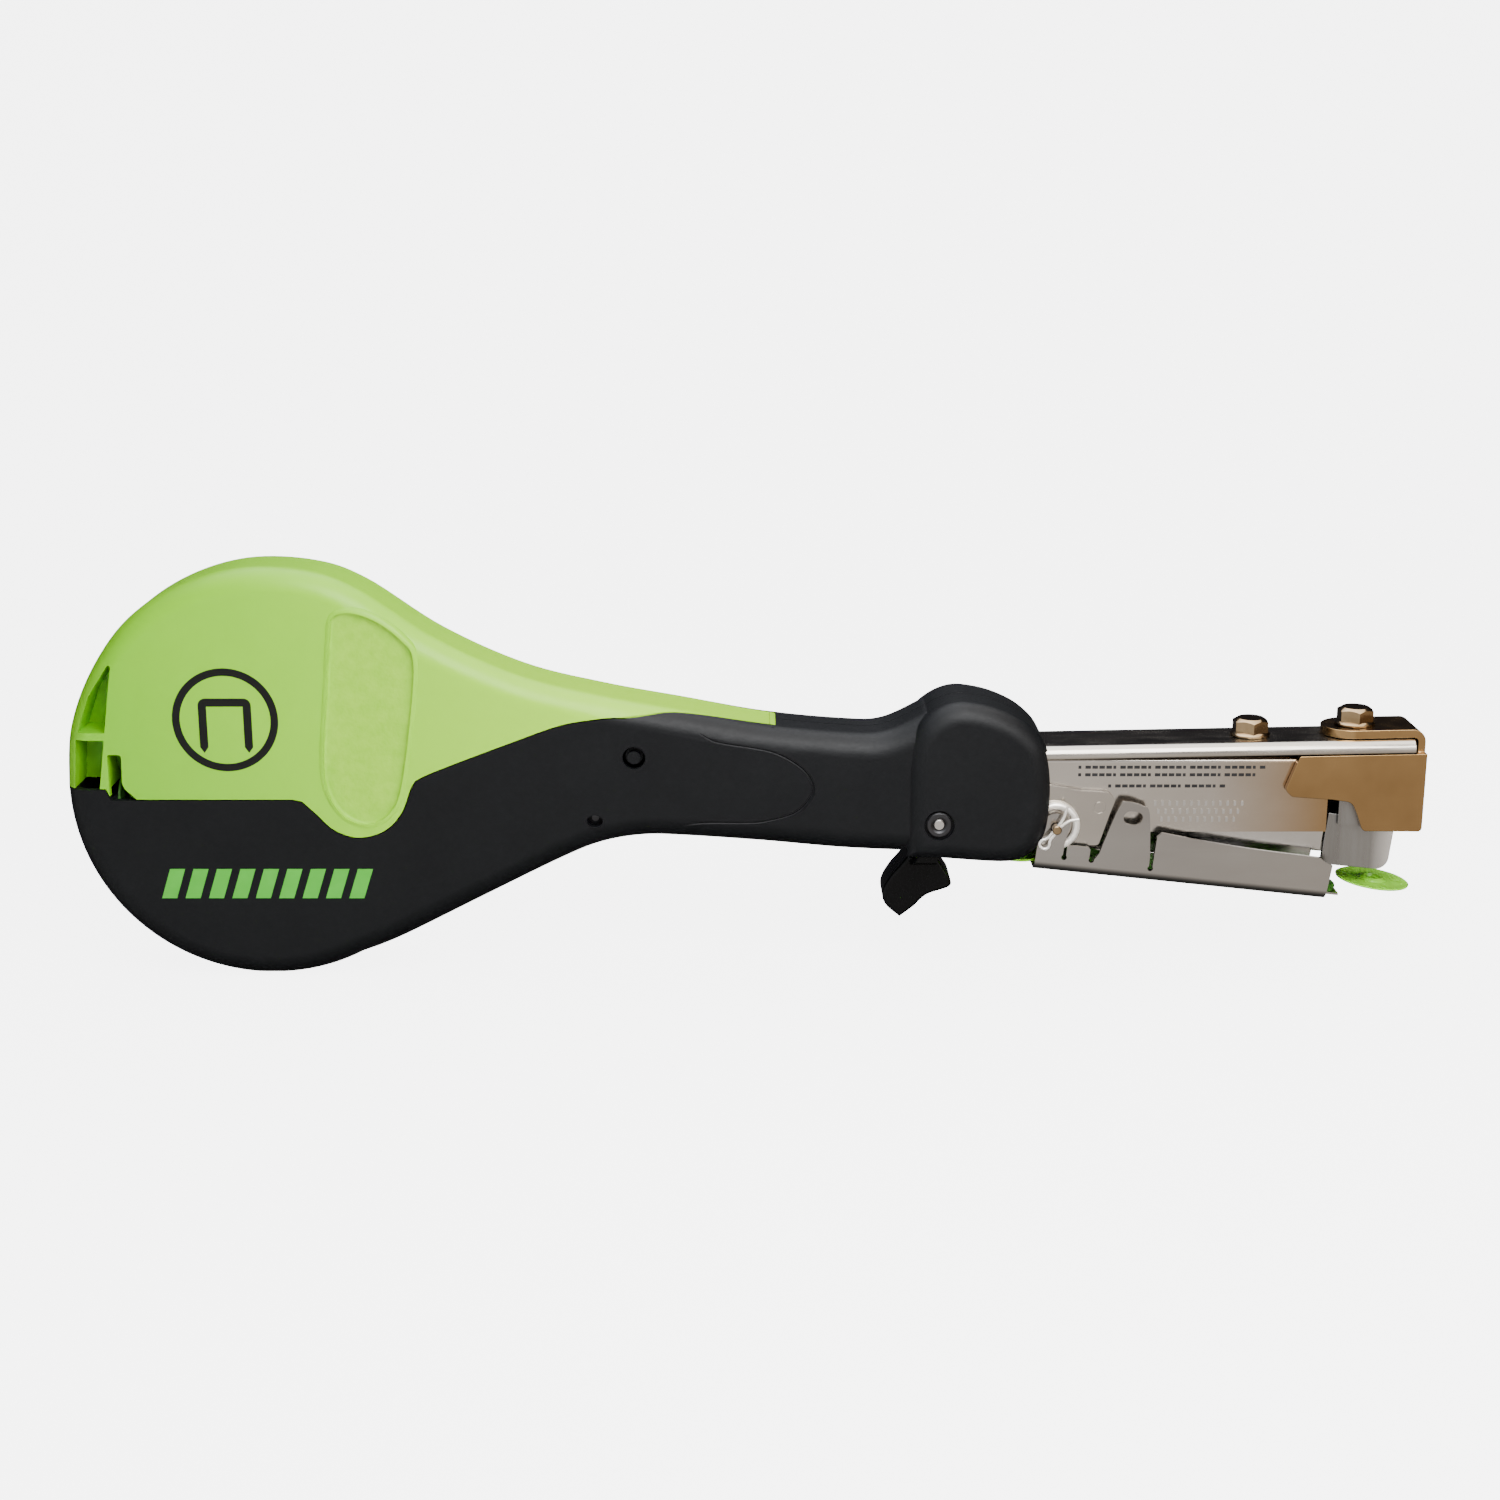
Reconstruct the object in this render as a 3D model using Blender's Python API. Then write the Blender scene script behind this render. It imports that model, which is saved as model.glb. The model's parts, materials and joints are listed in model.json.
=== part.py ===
"""A cap-feeding hammer tacker: a drum of plastic caps at the butt, a hollow handle and a sprung steel head.

Lengths below are millimetres and angles are degrees; slab() and its kin turn them into metres.
X runs from the butt to the nose, Z is up with the striking face down, and Y is the width.
"""

import math

import bmesh
import bpy
from mathutils import Matrix, Vector

MM = 0.001

# Moves the drawing so that the centre of the tool's box is the world's origin.
BOX_CENTRE = Vector((-1.28, 0.0, -5.65))

# Plastic body
HALF_WIDTH = 16.8
COVER_HALF_WIDTH = 19.5
WALL = 2.6
EDGE_RADIUS = 8.0
COVER_EDGE_RADIUS = 7.0
SEAM_GAP = 0.2
SPLIT_GAP = 0.15
DRUM_ARC = (-167.2, -10.7, 67.4)
LID_HINGE = (7.5, 8.9)
KNUCKLE_RADIUS = 2.2
LID_PIN_RADIUS = 1.0
HINGE_NOTCH = 2.9
TIP_HALF = 8.6
FRONT_OPENING = 15.9

# Cap roll and strip
COIL_CENTRE = (-162.0, -9.0)
COIL_RADIUS = 56.0
COIL_BORE = 16.0
CAP_RADIUS = 12.7
CAP_PITCH = 25.8
CAP_THICKNESS = 1.0
TUBE_WALL = 2.0

# Steel head
FRAME_HALF = 13.0
FRAME_SHEET = 2.6
FRAME_START = (102.5, 2.8)
FRAME_TILT = -1.109
CHANNEL_HALF = 10.0
CHANNEL_SHEET = 1.2
SHOE_SHEET = 2.6
BLADE = (218.4, 219.9)
BLADE_HALF = 5.2
HEAD_BOLTS = {"head_bolt_rear": (173.5, 5.75), "head_bolt_front": (209.6, 9.65)}
BOLT_RADIUS = 3.0
BOLT_HOLE = 3.3

# Magazine and rail, which swing on one pin
PIVOT = (105.3, -23.6)
REST_TILT = 6.14
PIVOT_RADIUS = 1.6
PIVOT_HOLE = 1.85
COTTER_Y = -17.6
COTTER_LEAN = 52.0
MAGAZINE_HALF = 8.3
MAGAZINE_SHEET = 1.2
RAIL_HALF = 15.0
RAIL_SHEET = 1.3
SPRING_PIN = (91.5, 12.4)
SPRING_PIN_RADIUS = 0.9

# Release lever
LEVER_PIVOT = (64.8, -21.6)
LEVER_BOLT_RADIUS = 2.0
LEVER_HOLE = 2.3
LEVER_ARMS = (13.3, 15.6)
PAD_HALF = 8.0

ANCHOR_PIN = (84.0, -14.0)
ANCHOR_RADIUS = 2.0
SCREWS = ((-39.6, 1.6), (-53.3, -20.9), (-97.0, -38.0), (-199.4, -61.2), (-224.5, -22.0), (30.0, 0.0))
SCREW_RADIUS = 1.25
BOSS_RADIUS = 3.0

# Room left round a pin, and the reach of a cutter that goes right through
PIN_GAP = 0.2
THROUGH = (-40, 40)

# name: colour, roughness, metallic
FINISHES = {
    "green_plastic": ((0.41, 0.69, 0.11), 0.38, 0.0),
    "black_plastic": ((0.018, 0.02, 0.023), 0.55, 0.0),
    "green_cap": ((0.16, 0.72, 0.03), 0.3, 0.0),
    "nickel_steel": ((0.62, 0.57, 0.51), 0.25, 1.0),
    "brushed_steel": ((0.55, 0.53, 0.5), 0.4, 1.0),
    "yellow_zinc": ((0.75, 0.66, 0.48), 0.25, 1.0),
    "dark_steel": ((0.2, 0.2, 0.21), 0.45, 1.0),
}


# ---------------------------------------------------------------- outlines


def arc(centre_x, centre_z, radius, start, end, steps):
    """Points on an arc, with both of its ends."""
    angles = (math.radians(start + (end - start) * i / steps) for i in range(steps + 1))
    return [(centre_x + radius * math.cos(a), centre_z + radius * math.sin(a)) for a in angles]


def smooth(points, steps=3, closed=False):
    """A Catmull-Rom curve through the points."""
    count = len(points)
    line = []
    for i in range(count if closed else count - 1):
        around = (i + k if closed else min(max(i + k, 0), count - 1) for k in (-1, 0, 1, 2))
        near = [points[k % count] for k in around]
        for j in range(steps):
            t = j / steps
            weights = (-t + 2 * t**2 - t**3, 2 - 5 * t**2 + 3 * t**3, t + 4 * t**2 - 3 * t**3, t**3 - t**2)
            line.append(tuple(sum(w * p[axis] for w, p in zip(weights, near)) / 2 for axis in (0, 1)))
    return line if closed else line + [tuple(points[-1])]


def rounded(corners, steps=3):
    """A closed outline whose corners (x, z, radius) are rounded; a corner without a radius stays sharp."""
    line = []
    for i, corner in enumerate(corners):
        here = Vector(corner[:2])
        if len(corner) == 2:
            line.append(tuple(here))
            continue
        back = (Vector(corners[i - 1][:2]) - here).normalized()
        ahead = (Vector(corners[(i + 1) % len(corners)][:2]) - here).normalized()
        half = back.angle(ahead) / 2
        centre = here + (back + ahead).normalized() * corner[2] / math.sin(half)
        start = here + back * corner[2] / math.tan(half) - centre
        end = here + ahead * corner[2] / math.tan(half) - centre
        turn = math.atan2(start.cross(end), start.dot(end))
        for k in range(steps + 1):
            line.append(tuple(centre + Matrix.Rotation(turn * k / steps, 2) @ start))
    return line


def box(x0, x1, z0, z1):
    return [(x0, z0), (x0, z1), (x1, z1), (x1, z0)]


def span(side, near, far):
    """The low and high Y of a stretch that lies from near to far on one side of the middle."""
    return sorted((side * near, side * far))


def frame_top(x):
    """Height of the hammer frame's top face."""
    return FRAME_START[1] + 1.4 - math.tan(math.radians(FRAME_TILT)) * (x - FRAME_START[0])


# ---------------------------------------------------------------- solids

for old in list(bpy.data.objects):
    bpy.data.objects.remove(old)

PARTS = bpy.data.collections.new("hammer_tacker")
CUTTERS = bpy.data.collections.new("cutters")
for group in (PARTS, CUTTERS):
    bpy.context.scene.collection.children.link(group)

ROOT = bpy.data.objects.new("tacker_frame", None)
ROOT.location = -BOX_CENTRE * MM
PARTS.objects.link(ROOT)

TURN = {
    "x": Matrix(((0, 0, 1, 0), (1, 0, 0, 0), (0, 1, 0, 0), (0, 0, 0, 1))),
    "y": Matrix.Rotation(math.pi / 2, 4, "X"),
    "z": Matrix.Identity(4),
}
ROW = Matrix.Identity(4)
RAIL = Matrix.Translation((PIVOT[0] * MM, 0, PIVOT[1] * MM))
RAIL = RAIL @ Matrix.Rotation(math.radians(REST_TILT), 4, "Y")
FRAME = Matrix.Translation((FRAME_START[0] * MM, 0, FRAME_START[1] * MM))
FRAME = FRAME @ Matrix.Rotation(math.radians(FRAME_TILT), 4, "Y")


def add(name, mesh, collection=CUTTERS):
    obj = bpy.data.objects.new(name, mesh)
    collection.objects.link(obj)
    obj.parent = ROOT
    if collection is CUTTERS:
        obj.hide_render = True
        obj.display_type = "WIRE"
    return obj


def settle(mesh, matrix):
    """Places a mesh, welds its caps and turns its faces outwards."""
    mesh.transform(matrix)
    work = bmesh.new()
    work.from_mesh(mesh)
    bmesh.ops.remove_doubles(work, verts=work.verts, dist=0.00001)
    bmesh.ops.recalc_face_normals(work, faces=work.faces)
    work.to_mesh(mesh)
    work.free()


def from_curve(name, curve, matrix):
    maker = bpy.data.objects.new(name, curve)
    CUTTERS.objects.link(maker)
    bpy.context.view_layer.update()
    graph = bpy.context.evaluated_depsgraph_get()
    mesh = bpy.data.meshes.new_from_object(maker.evaluated_get(graph))
    bpy.data.objects.remove(maker)
    settle(mesh, matrix)
    return add(name, mesh)


def slab(name, outline, low, high, axis="y", edge=0.0, steps=2, shrink=0.0, frame=ROW):
    """An outline, shrunk if need be, pulled from low to high along an axis, with its rims rounded by edge."""
    curve = bpy.data.curves.new(name, "CURVE")
    curve.dimensions = "2D"
    curve.fill_mode = "BOTH"
    spline = curve.splines.new("POLY")
    spline.points.add(len(outline) - 1)
    for point, (a, b) in zip(spline.points, outline):
        point.co = (a * MM, b * MM, 0, 1)
    spline.use_cyclic_u = True
    curve.extrude = ((high - low) / 2 - edge) * MM
    curve.bevel_depth = edge * MM
    curve.offset = -(edge + shrink) * MM
    curve.bevel_resolution = steps
    middle = (low + high) / 2 * MM * (-1 if axis == "y" else 1)
    return from_curve(name, curve, frame @ TURN[axis] @ Matrix.Translation((0, 0, middle)))


def rod(name, radius, place, low, high, sides=16, axis="y", frame=ROW):
    """A cylinder along an axis through the place, given in the plane across that axis."""
    mesh = bpy.data.meshes.new(name)
    work = bmesh.new()
    radii = {"radius1": radius * MM, "radius2": radius * MM}
    bmesh.ops.create_cone(work, cap_ends=True, segments=sides, depth=(high - low) * MM, **radii)
    work.to_mesh(mesh)
    work.free()
    middle = (low + high) / 2 * MM * (-1 if axis == "y" else 1)
    settle(mesh, frame @ TURN[axis] @ Matrix.Translation((place[0] * MM, place[1] * MM, middle)))
    return add(name, mesh)


def wire(name, path, radius, frame=ROW):
    """A round wire through a list of (x, y, z) points."""
    curve = bpy.data.curves.new(name, "CURVE")
    curve.dimensions = "3D"
    curve.bevel_depth = radius * MM
    curve.bevel_resolution = 1
    curve.use_fill_caps = True
    spline = curve.splines.new("POLY")
    spline.points.add(len(path) - 1)
    for point, place in zip(spline.points, path):
        point.co = (*(c * MM for c in place), 1)
    return from_curve(name, curve, frame)


def combine(base, operation, *tools):
    for tool in tools:
        modifier = base.modifiers.new(tool.name, "BOOLEAN")
        modifier.operation = operation
        modifier.solver = "EXACT"
        modifier.object = tool
    return base


def cut(base, *tools):
    return combine(base, "DIFFERENCE", *tools)


def join(base, *tools):
    return combine(base, "UNION", *tools)


def keep(base, *tools):
    return combine(base, "INTERSECT", *tools)


def baked(name, source):
    """A new solid with the shape that the source has now."""
    bpy.context.view_layer.update()
    graph = bpy.context.evaluated_depsgraph_get()
    return add(name, bpy.data.meshes.new_from_object(source.evaluated_get(graph)))


def finish(obj, look, smooth_angle=30):
    """Makes a solid a part: its collection, its material and its shading."""
    CUTTERS.objects.unlink(obj)
    PARTS.objects.link(obj)
    obj.hide_render = False
    obj.display_type = "TEXTURED"
    colour, roughness, metallic = FINISHES[look]
    material = bpy.data.materials.new(obj.name)
    material.use_nodes = True
    shader = material.node_tree.nodes["Principled BSDF"]
    shader.inputs["Base Color"].default_value = (*colour, 1)
    shader.inputs["Roughness"].default_value = roughness
    shader.inputs["Metallic"].default_value = metallic
    obj.data.materials.clear()
    obj.data.materials.append(material)
    obj.data.shade_smooth()
    obj.data.set_sharp_from_angle(angle=math.radians(smooth_angle))
    return obj


def pivot(name, place, *parts):
    """An empty on a joint's axis, which carries the parts that move with it."""
    empty = bpy.data.objects.new(name, None)
    PARTS.objects.link(empty)
    empty.parent = ROOT
    empty.location = Vector((place[0], 0, place[1])) * MM
    for part in parts:
        part.parent = empty
        part.location = -empty.location
    return empty


def channel(half, bottom, top, sheet, bend):
    """The section of a folded sheet channel, open at the bottom."""
    inner = max(bend - sheet, 0.3)
    outside = [(-half, bottom), (-half, top, bend), (half, top, bend), (half, bottom)]
    inside = [(half - sheet, bottom), (half - sheet, top - sheet, inner)]
    return rounded(outside + inside + [(sheet - half, top - sheet, inner), (sheet - half, bottom)])


# ---------------------------------------------------------------- plastic body


def handle_outline():
    """Drum and handle, clockwise from the rear."""
    crown = [(-234.7, -9.5), (-232.6, 10.5), (-224.6, 30.2), (-211.8, 47.6), (-194, 59.8), (-173, 66.2)]
    top = [(-150, 65.4), (-132.3, 59), (-106.6, 42), (-78.4, 29.0), (-50.9, 22.0), (-23.3, 16.9), (4.3, 11.9)]
    ramp = [(32, 9.2), (46, 9.6), (60, 16.2)]
    bottom = [(58, -33.4), (32, -32.2), (4.3, -29.7), (-23.3, -27.8), (-37.1, -27.6), (-50.9, -30.0)]
    drum_side = [(-64.7, -35.6), (-92, -49.4), (-118.8, -63.2), (-130, -68.2)]
    line = smooth(crown + top + ramp) + [(76, 17.2), (76, -33.6)]
    line += smooth(bottom + drum_side)
    return line + arc(*DRUM_ARC, -62, -176, 14)


def cover_outline():
    """The wider housing over the head, clockwise."""
    rear = [(53.6, -22), (53.5, -2), (55.8, 10.2), (61.6, 16.9)]
    top = [(70, 20.5), (79, 19.8), (87.5, 17.1), (95, 12.7), (100.8, 6.0)]
    front = [(103.2, -4), (103.5, -15), (102.3, -25), (98.8, -31.6), (93, -35.5), (85, -36.4), (66, -35.1)]
    return [(53.2, -34.8)] + smooth(rear + top + front)


# The parting line between the green lid and the black handle, from the rear to the tongue's tip.
SEAM = [(-260, -9.4), (-220.3, -9.6), (-218.6, -13.3), (-156.5, -13.3)]
LOBE = [(-153.4, -14.0), (-148.6, -18.6), (-142.8, -24.2), (-134.6, -26.9), (-125.4, -24.4), (-119.2, -17.8)]
SEAM += smooth(LOBE + [(-115.4, -8.4), (-111.6, -5.2)])
SEAM += [(-98, 0.4), (-77.6, 8.2), (-67.3, 12.0), (-60, 13.9), (-50, 15.3), (-46, 15.5)]
SEAM += [(-36.5, 14.9), (-22, 12.6), (-9.3, 10.5), (5.0, 8.4)]

# Half of the tongue's width, from where its sides climb on to the top of the handle.
TONGUE = [(-47.4, 17.4), (-44, 16.3), (-35.4, 14.8), (-27, 12.3), (-19, 10.9), (-7, 9.5), (5.0, 8.8), (12, 8.8)]

GRIP_PAD = [(-140, 50.3), (-134, 52), (-126, 49.4), (-117.5, 43), (-113.4, 35.5), (-115.2, 15), (-119.4, -9.7)]
GRIP_PAD += [(-124, -18.5), (-131.6, -22), (-139.6, -18.5), (-144.5, -9.7), (-145.3, 1), (-143.4, 22), (-141.6, 41)]

# The finger pocket at the rear of the lid, the wall that closes it, and the window under it.
POCKET = [(-231.4, -14), (-229.6, 8), (-224.4, 22.6), (-215.4, 36), (-222.2, -9), (-222.6, -14)]
POCKET_WALL = [(-250, -30), (-250, 42), (-213, 42), (-213, 35), (-219.8, -9), (-220.2, -30)]
WINDOW = [(-219, -20), (-219, 2.7), (-214.2, 2.7), (-214.6, -8), (-209.6, -13.6), (-209, -20)]


def body_shell():
    """The whole plastic body as one hollow solid, before it is parted."""
    handle = slab("handle_form", handle_outline(), -HALF_WIDTH, HALF_WIDTH, edge=EDGE_RADIUS)
    cover = slab("cover_form", cover_outline(), -COVER_HALF_WIDTH, COVER_HALF_WIDTH, edge=COVER_EDGE_RADIUS)
    inner = HALF_WIDTH - WALL
    edge = EDGE_RADIUS - WALL
    hollow = slab("handle_hollow", handle_outline(), -inner, inner, edge=edge, steps=1, shrink=WALL)
    inner = COVER_HALF_WIDTH - WALL
    edge = COVER_EDGE_RADIUS - WALL
    head_room = slab("cover_hollow", cover_outline(), -inner, inner, edge=edge, steps=1, shrink=WALL)
    outer = baked("outer_form", join(handle, cover))
    room = baked("inner_form", join(hollow, head_room))
    return outer, room


def shoulder(side, shrink):
    """The handle's top beside the tongue, as a block that stands on the seam."""
    outline = [(x, side * half) for x, half in TONGUE] + [(12, side * 30), (-47.4, side * 30)]
    return slab("shoulder", outline, 4, 60, axis="z", shrink=shrink)


def region(above):
    """A block that holds all that is above or below the seam, held back from it by the gap."""
    if above:
        line = [(-260, 90), (SEAM[-1][0], 90)] + SEAM[::-1]
        block = slab("region", line, *THROUGH, shrink=SEAM_GAP)
        return cut(block, shoulder(-1, -SEAM_GAP), shoulder(1, -SEAM_GAP))
    notch = SEAM[-1][0] + HINGE_NOTCH
    line = SEAM + [(notch, SEAM[-1][1]), (notch, 60), (120, 60), (120, -100), (-260, -100)]
    block = slab("region", line, *THROUGH, shrink=SEAM_GAP)
    return join(block, shoulder(-1, SEAM_GAP), shoulder(1, SEAM_GAP))


def drum_lid(outer, room):
    """The green lid: drum cover, finger pocket at the rear and the tongue that ends in a hinge knuckle."""
    lid = baked("drum_lid", outer)
    cut(lid, baked("lid_hollow", cut(room, slab("pocket_block", POCKET_WALL, *THROUGH))))
    keep(lid, baked("lid_region", region(above=True)))
    knuckle = rod("knuckle", KNUCKLE_RADIUS, LID_HINGE, -TIP_HALF, TIP_HALF)
    web = slab("knuckle_web", box(SEAM[-1][0] - 1.5, LID_HINGE[0], 8.6, 10.6), -8.2, 8.2)
    join(lid, knuckle, web)
    cut(lid, rod("knuckle_bore", LID_PIN_RADIUS + PIN_GAP, LID_HINGE, *THROUGH, sides=12))
    cut(lid, slab("window", WINDOW, *THROUGH))
    for side in (-1, 1):
        pocket = slab("pocket", POCKET, *span(side, 1.3, 30))
        cut(pocket, slab("pocket_rib", box(-240, -210, 7.7, 10.3), *THROUGH))
        pad = slab("grip_pad", smooth(GRIP_PAD, 2, closed=True), *span(side, HALF_WIDTH - 1.1, 30))
        cut(lid, pocket, pad)
    return finish(lid, "green_plastic")


def housing_half(name, outer, room, side):
    """One black half of the handle, with its screw bosses; side -1 is the near half."""
    half = baked(name, outer)
    cut(half, room)
    for place in SCREWS:
        join(half, rod("boss", BOSS_RADIUS, place, *span(side, SPLIT_GAP, HALF_WIDTH - WALL / 2), sides=12))
    join(half, rod("anchor_boss", 4.2, ANCHOR_PIN, *span(side, 13.6, COVER_HALF_WIDTH - WALL / 2)))
    join(half, rod("pin_boss", KNUCKLE_RADIUS, LID_HINGE, *span(side, TIP_HALF, 11.4)))
    keep(half, baked("housing_region", region(above=False)))
    keep(half, slab("half_space", box(-260, 120, -100, 100), *span(side, SPLIT_GAP, 40)))
    seat = TIP_HALF + 0.4
    cut(half, rod("lid_seat", KNUCKLE_RADIUS + 0.5, LID_HINGE, -seat, seat, sides=24))
    cut(half, rod("lid_pin_hole", LID_PIN_RADIUS + PIN_GAP, LID_HINGE, -11.1, 11.1, sides=12))
    cut(half, slab("front_opening", box(86, 115, -50, 3.4), -FRONT_OPENING, FRONT_OPENING))
    cut(half, slab("frame_opening", box(86, 115, 3.0, 4.9), -FRAME_HALF - 0.5, FRAME_HALF + 0.5))
    cut(half, slab("bottom_opening", box(52.5, 110, -50, -31), -FRONT_OPENING, FRONT_OPENING))
    cut(half, rod("lever_hole", LEVER_HOLE, LEVER_PIVOT, *THROUGH))
    cut(half, rod("lever_recess", 5.25, LEVER_PIVOT, *span(side, 17.8, 30), sides=32))
    cut(half, rod("anchor_hole", ANCHOR_RADIUS + PIN_GAP, ANCHOR_PIN, -16.7, 16.7))
    for place in SCREWS:
        cut(half, rod("screw_hole", SCREW_RADIUS + PIN_GAP, place, -12.6, 14.6, sides=12))
        if side > 0:
            cut(half, rod("head_recess", 3.1, place, 14.4, 30))
    if side < 0:
        ring = rod("boss_recess", 4.0, SCREWS[0], -30, -15.2, sides=24)
        cut(half, cut(ring, rod("boss_post", 2.0, SCREWS[0], -16.4, -10)))
        oval = [(x * 1.3 + SCREWS[1][0], z + SCREWS[1][1]) for x, z in arc(0, 0, 2.15, 360, 15, 23)]
        cut(half, slab("oval_recess", oval, -30, -15.4))
    return finish(half, "black_plastic")


def housing_screw(index, place):
    """A pan-head screw put in from the far side."""
    screw = rod(f"housing_screw_{index}", SCREW_RADIUS, place, -12.2, 14.9, sides=12)
    head = rod("screw_head", 2.8, place, 14.6, 16.3)
    slot = slab("screw_slot", box(place[0] - 4, place[0] + 4, place[1] - 0.4, place[1] + 0.4), 15.7, 20)
    return finish(cut(join(screw, head), slot), "dark_steel")


# ---------------------------------------------------------------- caps


def strip_outline(first, count):
    """A row of round caps joined by narrow webs, in the plane of the strip."""
    web = 18.4
    near, far = [], []
    for i in range(count):
        centre = first + CAP_PITCH * i
        start = 180 if i == 0 else 180 - web
        end = 0 if i == count - 1 else web
        near += arc(centre, 0, CAP_RADIUS, start, end, 9)
        far += arc(centre, 0, CAP_RADIUS, -start, -end, 9)
    return near + list(reversed(far))[1:-1]


def strip_path():
    """The middle line of the strip through the handle, from the foot of the roll to the rail."""
    leave = arc(*COIL_CENTRE, COIL_RADIUS + 2.2, -112, -78, 4)
    along = [(-132, -62.2), (-118.8, -57.4), (-92, -43.9), (-64.7, -29.9), (-52.5, -25.2), (-37.1, -22.3)]
    ahead = [(-23.3, -22.5), (4.3, -24.4), (32, -26.9), (50, -27.8), (60, -28.9), (72, -32.0), (84, -34.9)]
    return smooth(leave + along + ahead + [(94, -36.5), (103.0, -37.1)], 2)


def cap_strip_handle():
    line = strip_path()
    sides = []
    for gap in (CAP_THICKNESS / 2, -CAP_THICKNESS / 2):
        side = []
        for i, point in enumerate(line):
            run = Vector(line[min(i + 1, len(line) - 1)]) - Vector(line[max(i - 1, 0)])
            side.append(tuple(Vector(point) + Vector((-run.y, run.x)).normalized() * gap))
        sides.append(side)
    outline = sides[0] + list(reversed(sides[1]))
    return finish(slab("cap_strip_handle", outline, -CAP_RADIUS, CAP_RADIUS), "green_cap")


def cap_coil():
    """The roll of caps as a plain ring, and the tube it is wound on."""
    roll = rod("cap_coil", COIL_RADIUS, COIL_CENTRE, -CAP_RADIUS, CAP_RADIUS, sides=64)
    cut(roll, rod("roll_bore", COIL_BORE, COIL_CENTRE, *THROUGH, sides=32))
    outside = COIL_BORE - 0.3
    tube = rod("coil_core", outside, COIL_CENTRE, -CAP_RADIUS, CAP_RADIUS, sides=32)
    cut(tube, rod("tube_bore", outside - TUBE_WALL, COIL_CENTRE, *THROUGH, sides=32))
    return finish(roll, "green_cap"), finish(tube, "black_plastic")


def rail_caps():
    strip = slab("cap_strip_rail", strip_outline(12.8, 4), -14.8, -13.6, axis="z", frame=RAIL)
    cap = rod("front_cap", CAP_RADIUS, (116, 0), -11.7, -10.6, sides=36, axis="z", frame=RAIL)
    join(cap, rod("cap_ring", 4.2, (116, 0), -11.2, -9.8, sides=24, axis="z", frame=RAIL))
    return finish(strip, "green_cap"), finish(cap, "green_cap")


# ---------------------------------------------------------------- steel head


def hammer_frame():
    section = channel(FRAME_HALF, -2.9, 1.4, FRAME_SHEET, 3.4)
    frame = slab("hammer_frame", section, -40.5, 125.6, axis="x", frame=FRAME)
    for x, _ in HEAD_BOLTS.values():
        cut(frame, rod("bolt_hole", BOLT_HOLE, (x, 0), -20, 20, axis="z"))
    return finish(frame, "nickel_steel")


def side_channel():
    section = channel(CHANNEL_HALF, -26.6, 0.3, CHANNEL_SHEET, 2.2)
    sides = slab("side_channel", section, 60, 199.5, axis="x")
    cut(sides, slab("striker_room", box(163, 210, -6, 6), -8.7, 8.7))
    cut(sides, rod("lever_hole", LEVER_HOLE, LEVER_PIVOT, *THROUGH))
    cut(sides, rod("anchor_hole", ANCHOR_RADIUS + PIN_GAP, ANCHOR_PIN, *THROUGH))
    cut(sides, rod("pivot_hole", PIVOT_HOLE, PIVOT, *THROUGH))
    return finish(sides, "nickel_steel")


def pivot_cheek(name, side):
    """A thick plate that carries the pivot pin, with a round boss that the ring snaps on."""
    corners = [(74, -8), (103, -9.2), (114.5, -11.4, 3), (123.2, -11.8, 2), (126, -14.4, 2), (124.4, -19, 2)]
    cheek = slab(name, rounded(corners + [(120.6, -31, 1.5), (74, -30)]), *span(side, 10.3, 12.0))
    join(cheek, rod("pivot_boss", 4.9, PIVOT, *span(side, 11.8, 13.3), sides=24))
    cut(cheek, rod("pivot_hole", PIVOT_HOLE, PIVOT, *THROUGH))
    cut(cheek, rod("anchor_hole", ANCHOR_RADIUS + PIN_GAP, ANCHOR_PIN, *THROUGH))
    return finish(cheek, "nickel_steel")


def retaining_ring(name, side):
    """A C-shaped ring round the pivot boss, open towards the butt and the rail."""
    outline = arc(*PIVOT, 8.6, 205, -75, 24) + arc(*PIVOT, 5.9, -75, 205, 24)
    return finish(slab(name, outline, *span(side, 12.2, 13.3)), "nickel_steel")


def front_shoe():
    """The thick strap over the frame's end, folded down in front and along both sides."""
    top = [(188.4, 1.1), (231.9, 2.0), (231.9, -25.8, 1.2), (211.4, -25.6, 1.5), (209.2, -19.5, 2.2)]
    lower = [(207.2, -15.3, 3), (200.5, -14.3), (186.4, -13.3, 1.5), (184.0, -10.9, 1.5)]
    shoe = slab("front_shoe", rounded(top + lower), -FRAME_HALF, FRAME_HALF)
    inner = FRAME_HALF - SHOE_SHEET
    cut(shoe, slab("shoe_room", box(170, 231.9 - SHOE_SHEET, -40, 20), -inner, inner))
    gap, strap = 0.3, 2.9
    rise = frame_top(198) + gap
    corner = frame_top(231.9) + gap
    fold = [(198, rise), (198, rise + strap), (231.9, corner + strap, 4.4), (231.9, -4)]
    fold += [(231.9 - SHOE_SHEET, -4), (231.9 - SHOE_SHEET, corner, 1.6)]
    plan = arc(208, 0, 10, 90, 270, 10) + [(240, -10), (240, 10)]
    join(shoe, baked("strap", keep(slab("strap_sheet", rounded(fold), -12, 12), slab("plan", plan, 0, 20, axis="z"))))
    x = HEAD_BOLTS["head_bolt_front"][0]
    cut(shoe, rod("bolt_hole", BOLT_HOLE, (x, 0), 0, 30, axis="z"))
    return finish(shoe, "nickel_steel")


def driver_guide():
    """The liner that the magazine's nose slides up in."""
    guide = slab("driver_guide", channel(10.2, -24, -5.2, 1.0, 1.4), 203.5, 225, axis="x")
    cut(guide, slab("blade_slot", box(BLADE[0] - 0.6, BLADE[1] + 0.6, -8, 0), -6.5, 6.5))
    return finish(guide, "brushed_steel")


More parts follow.
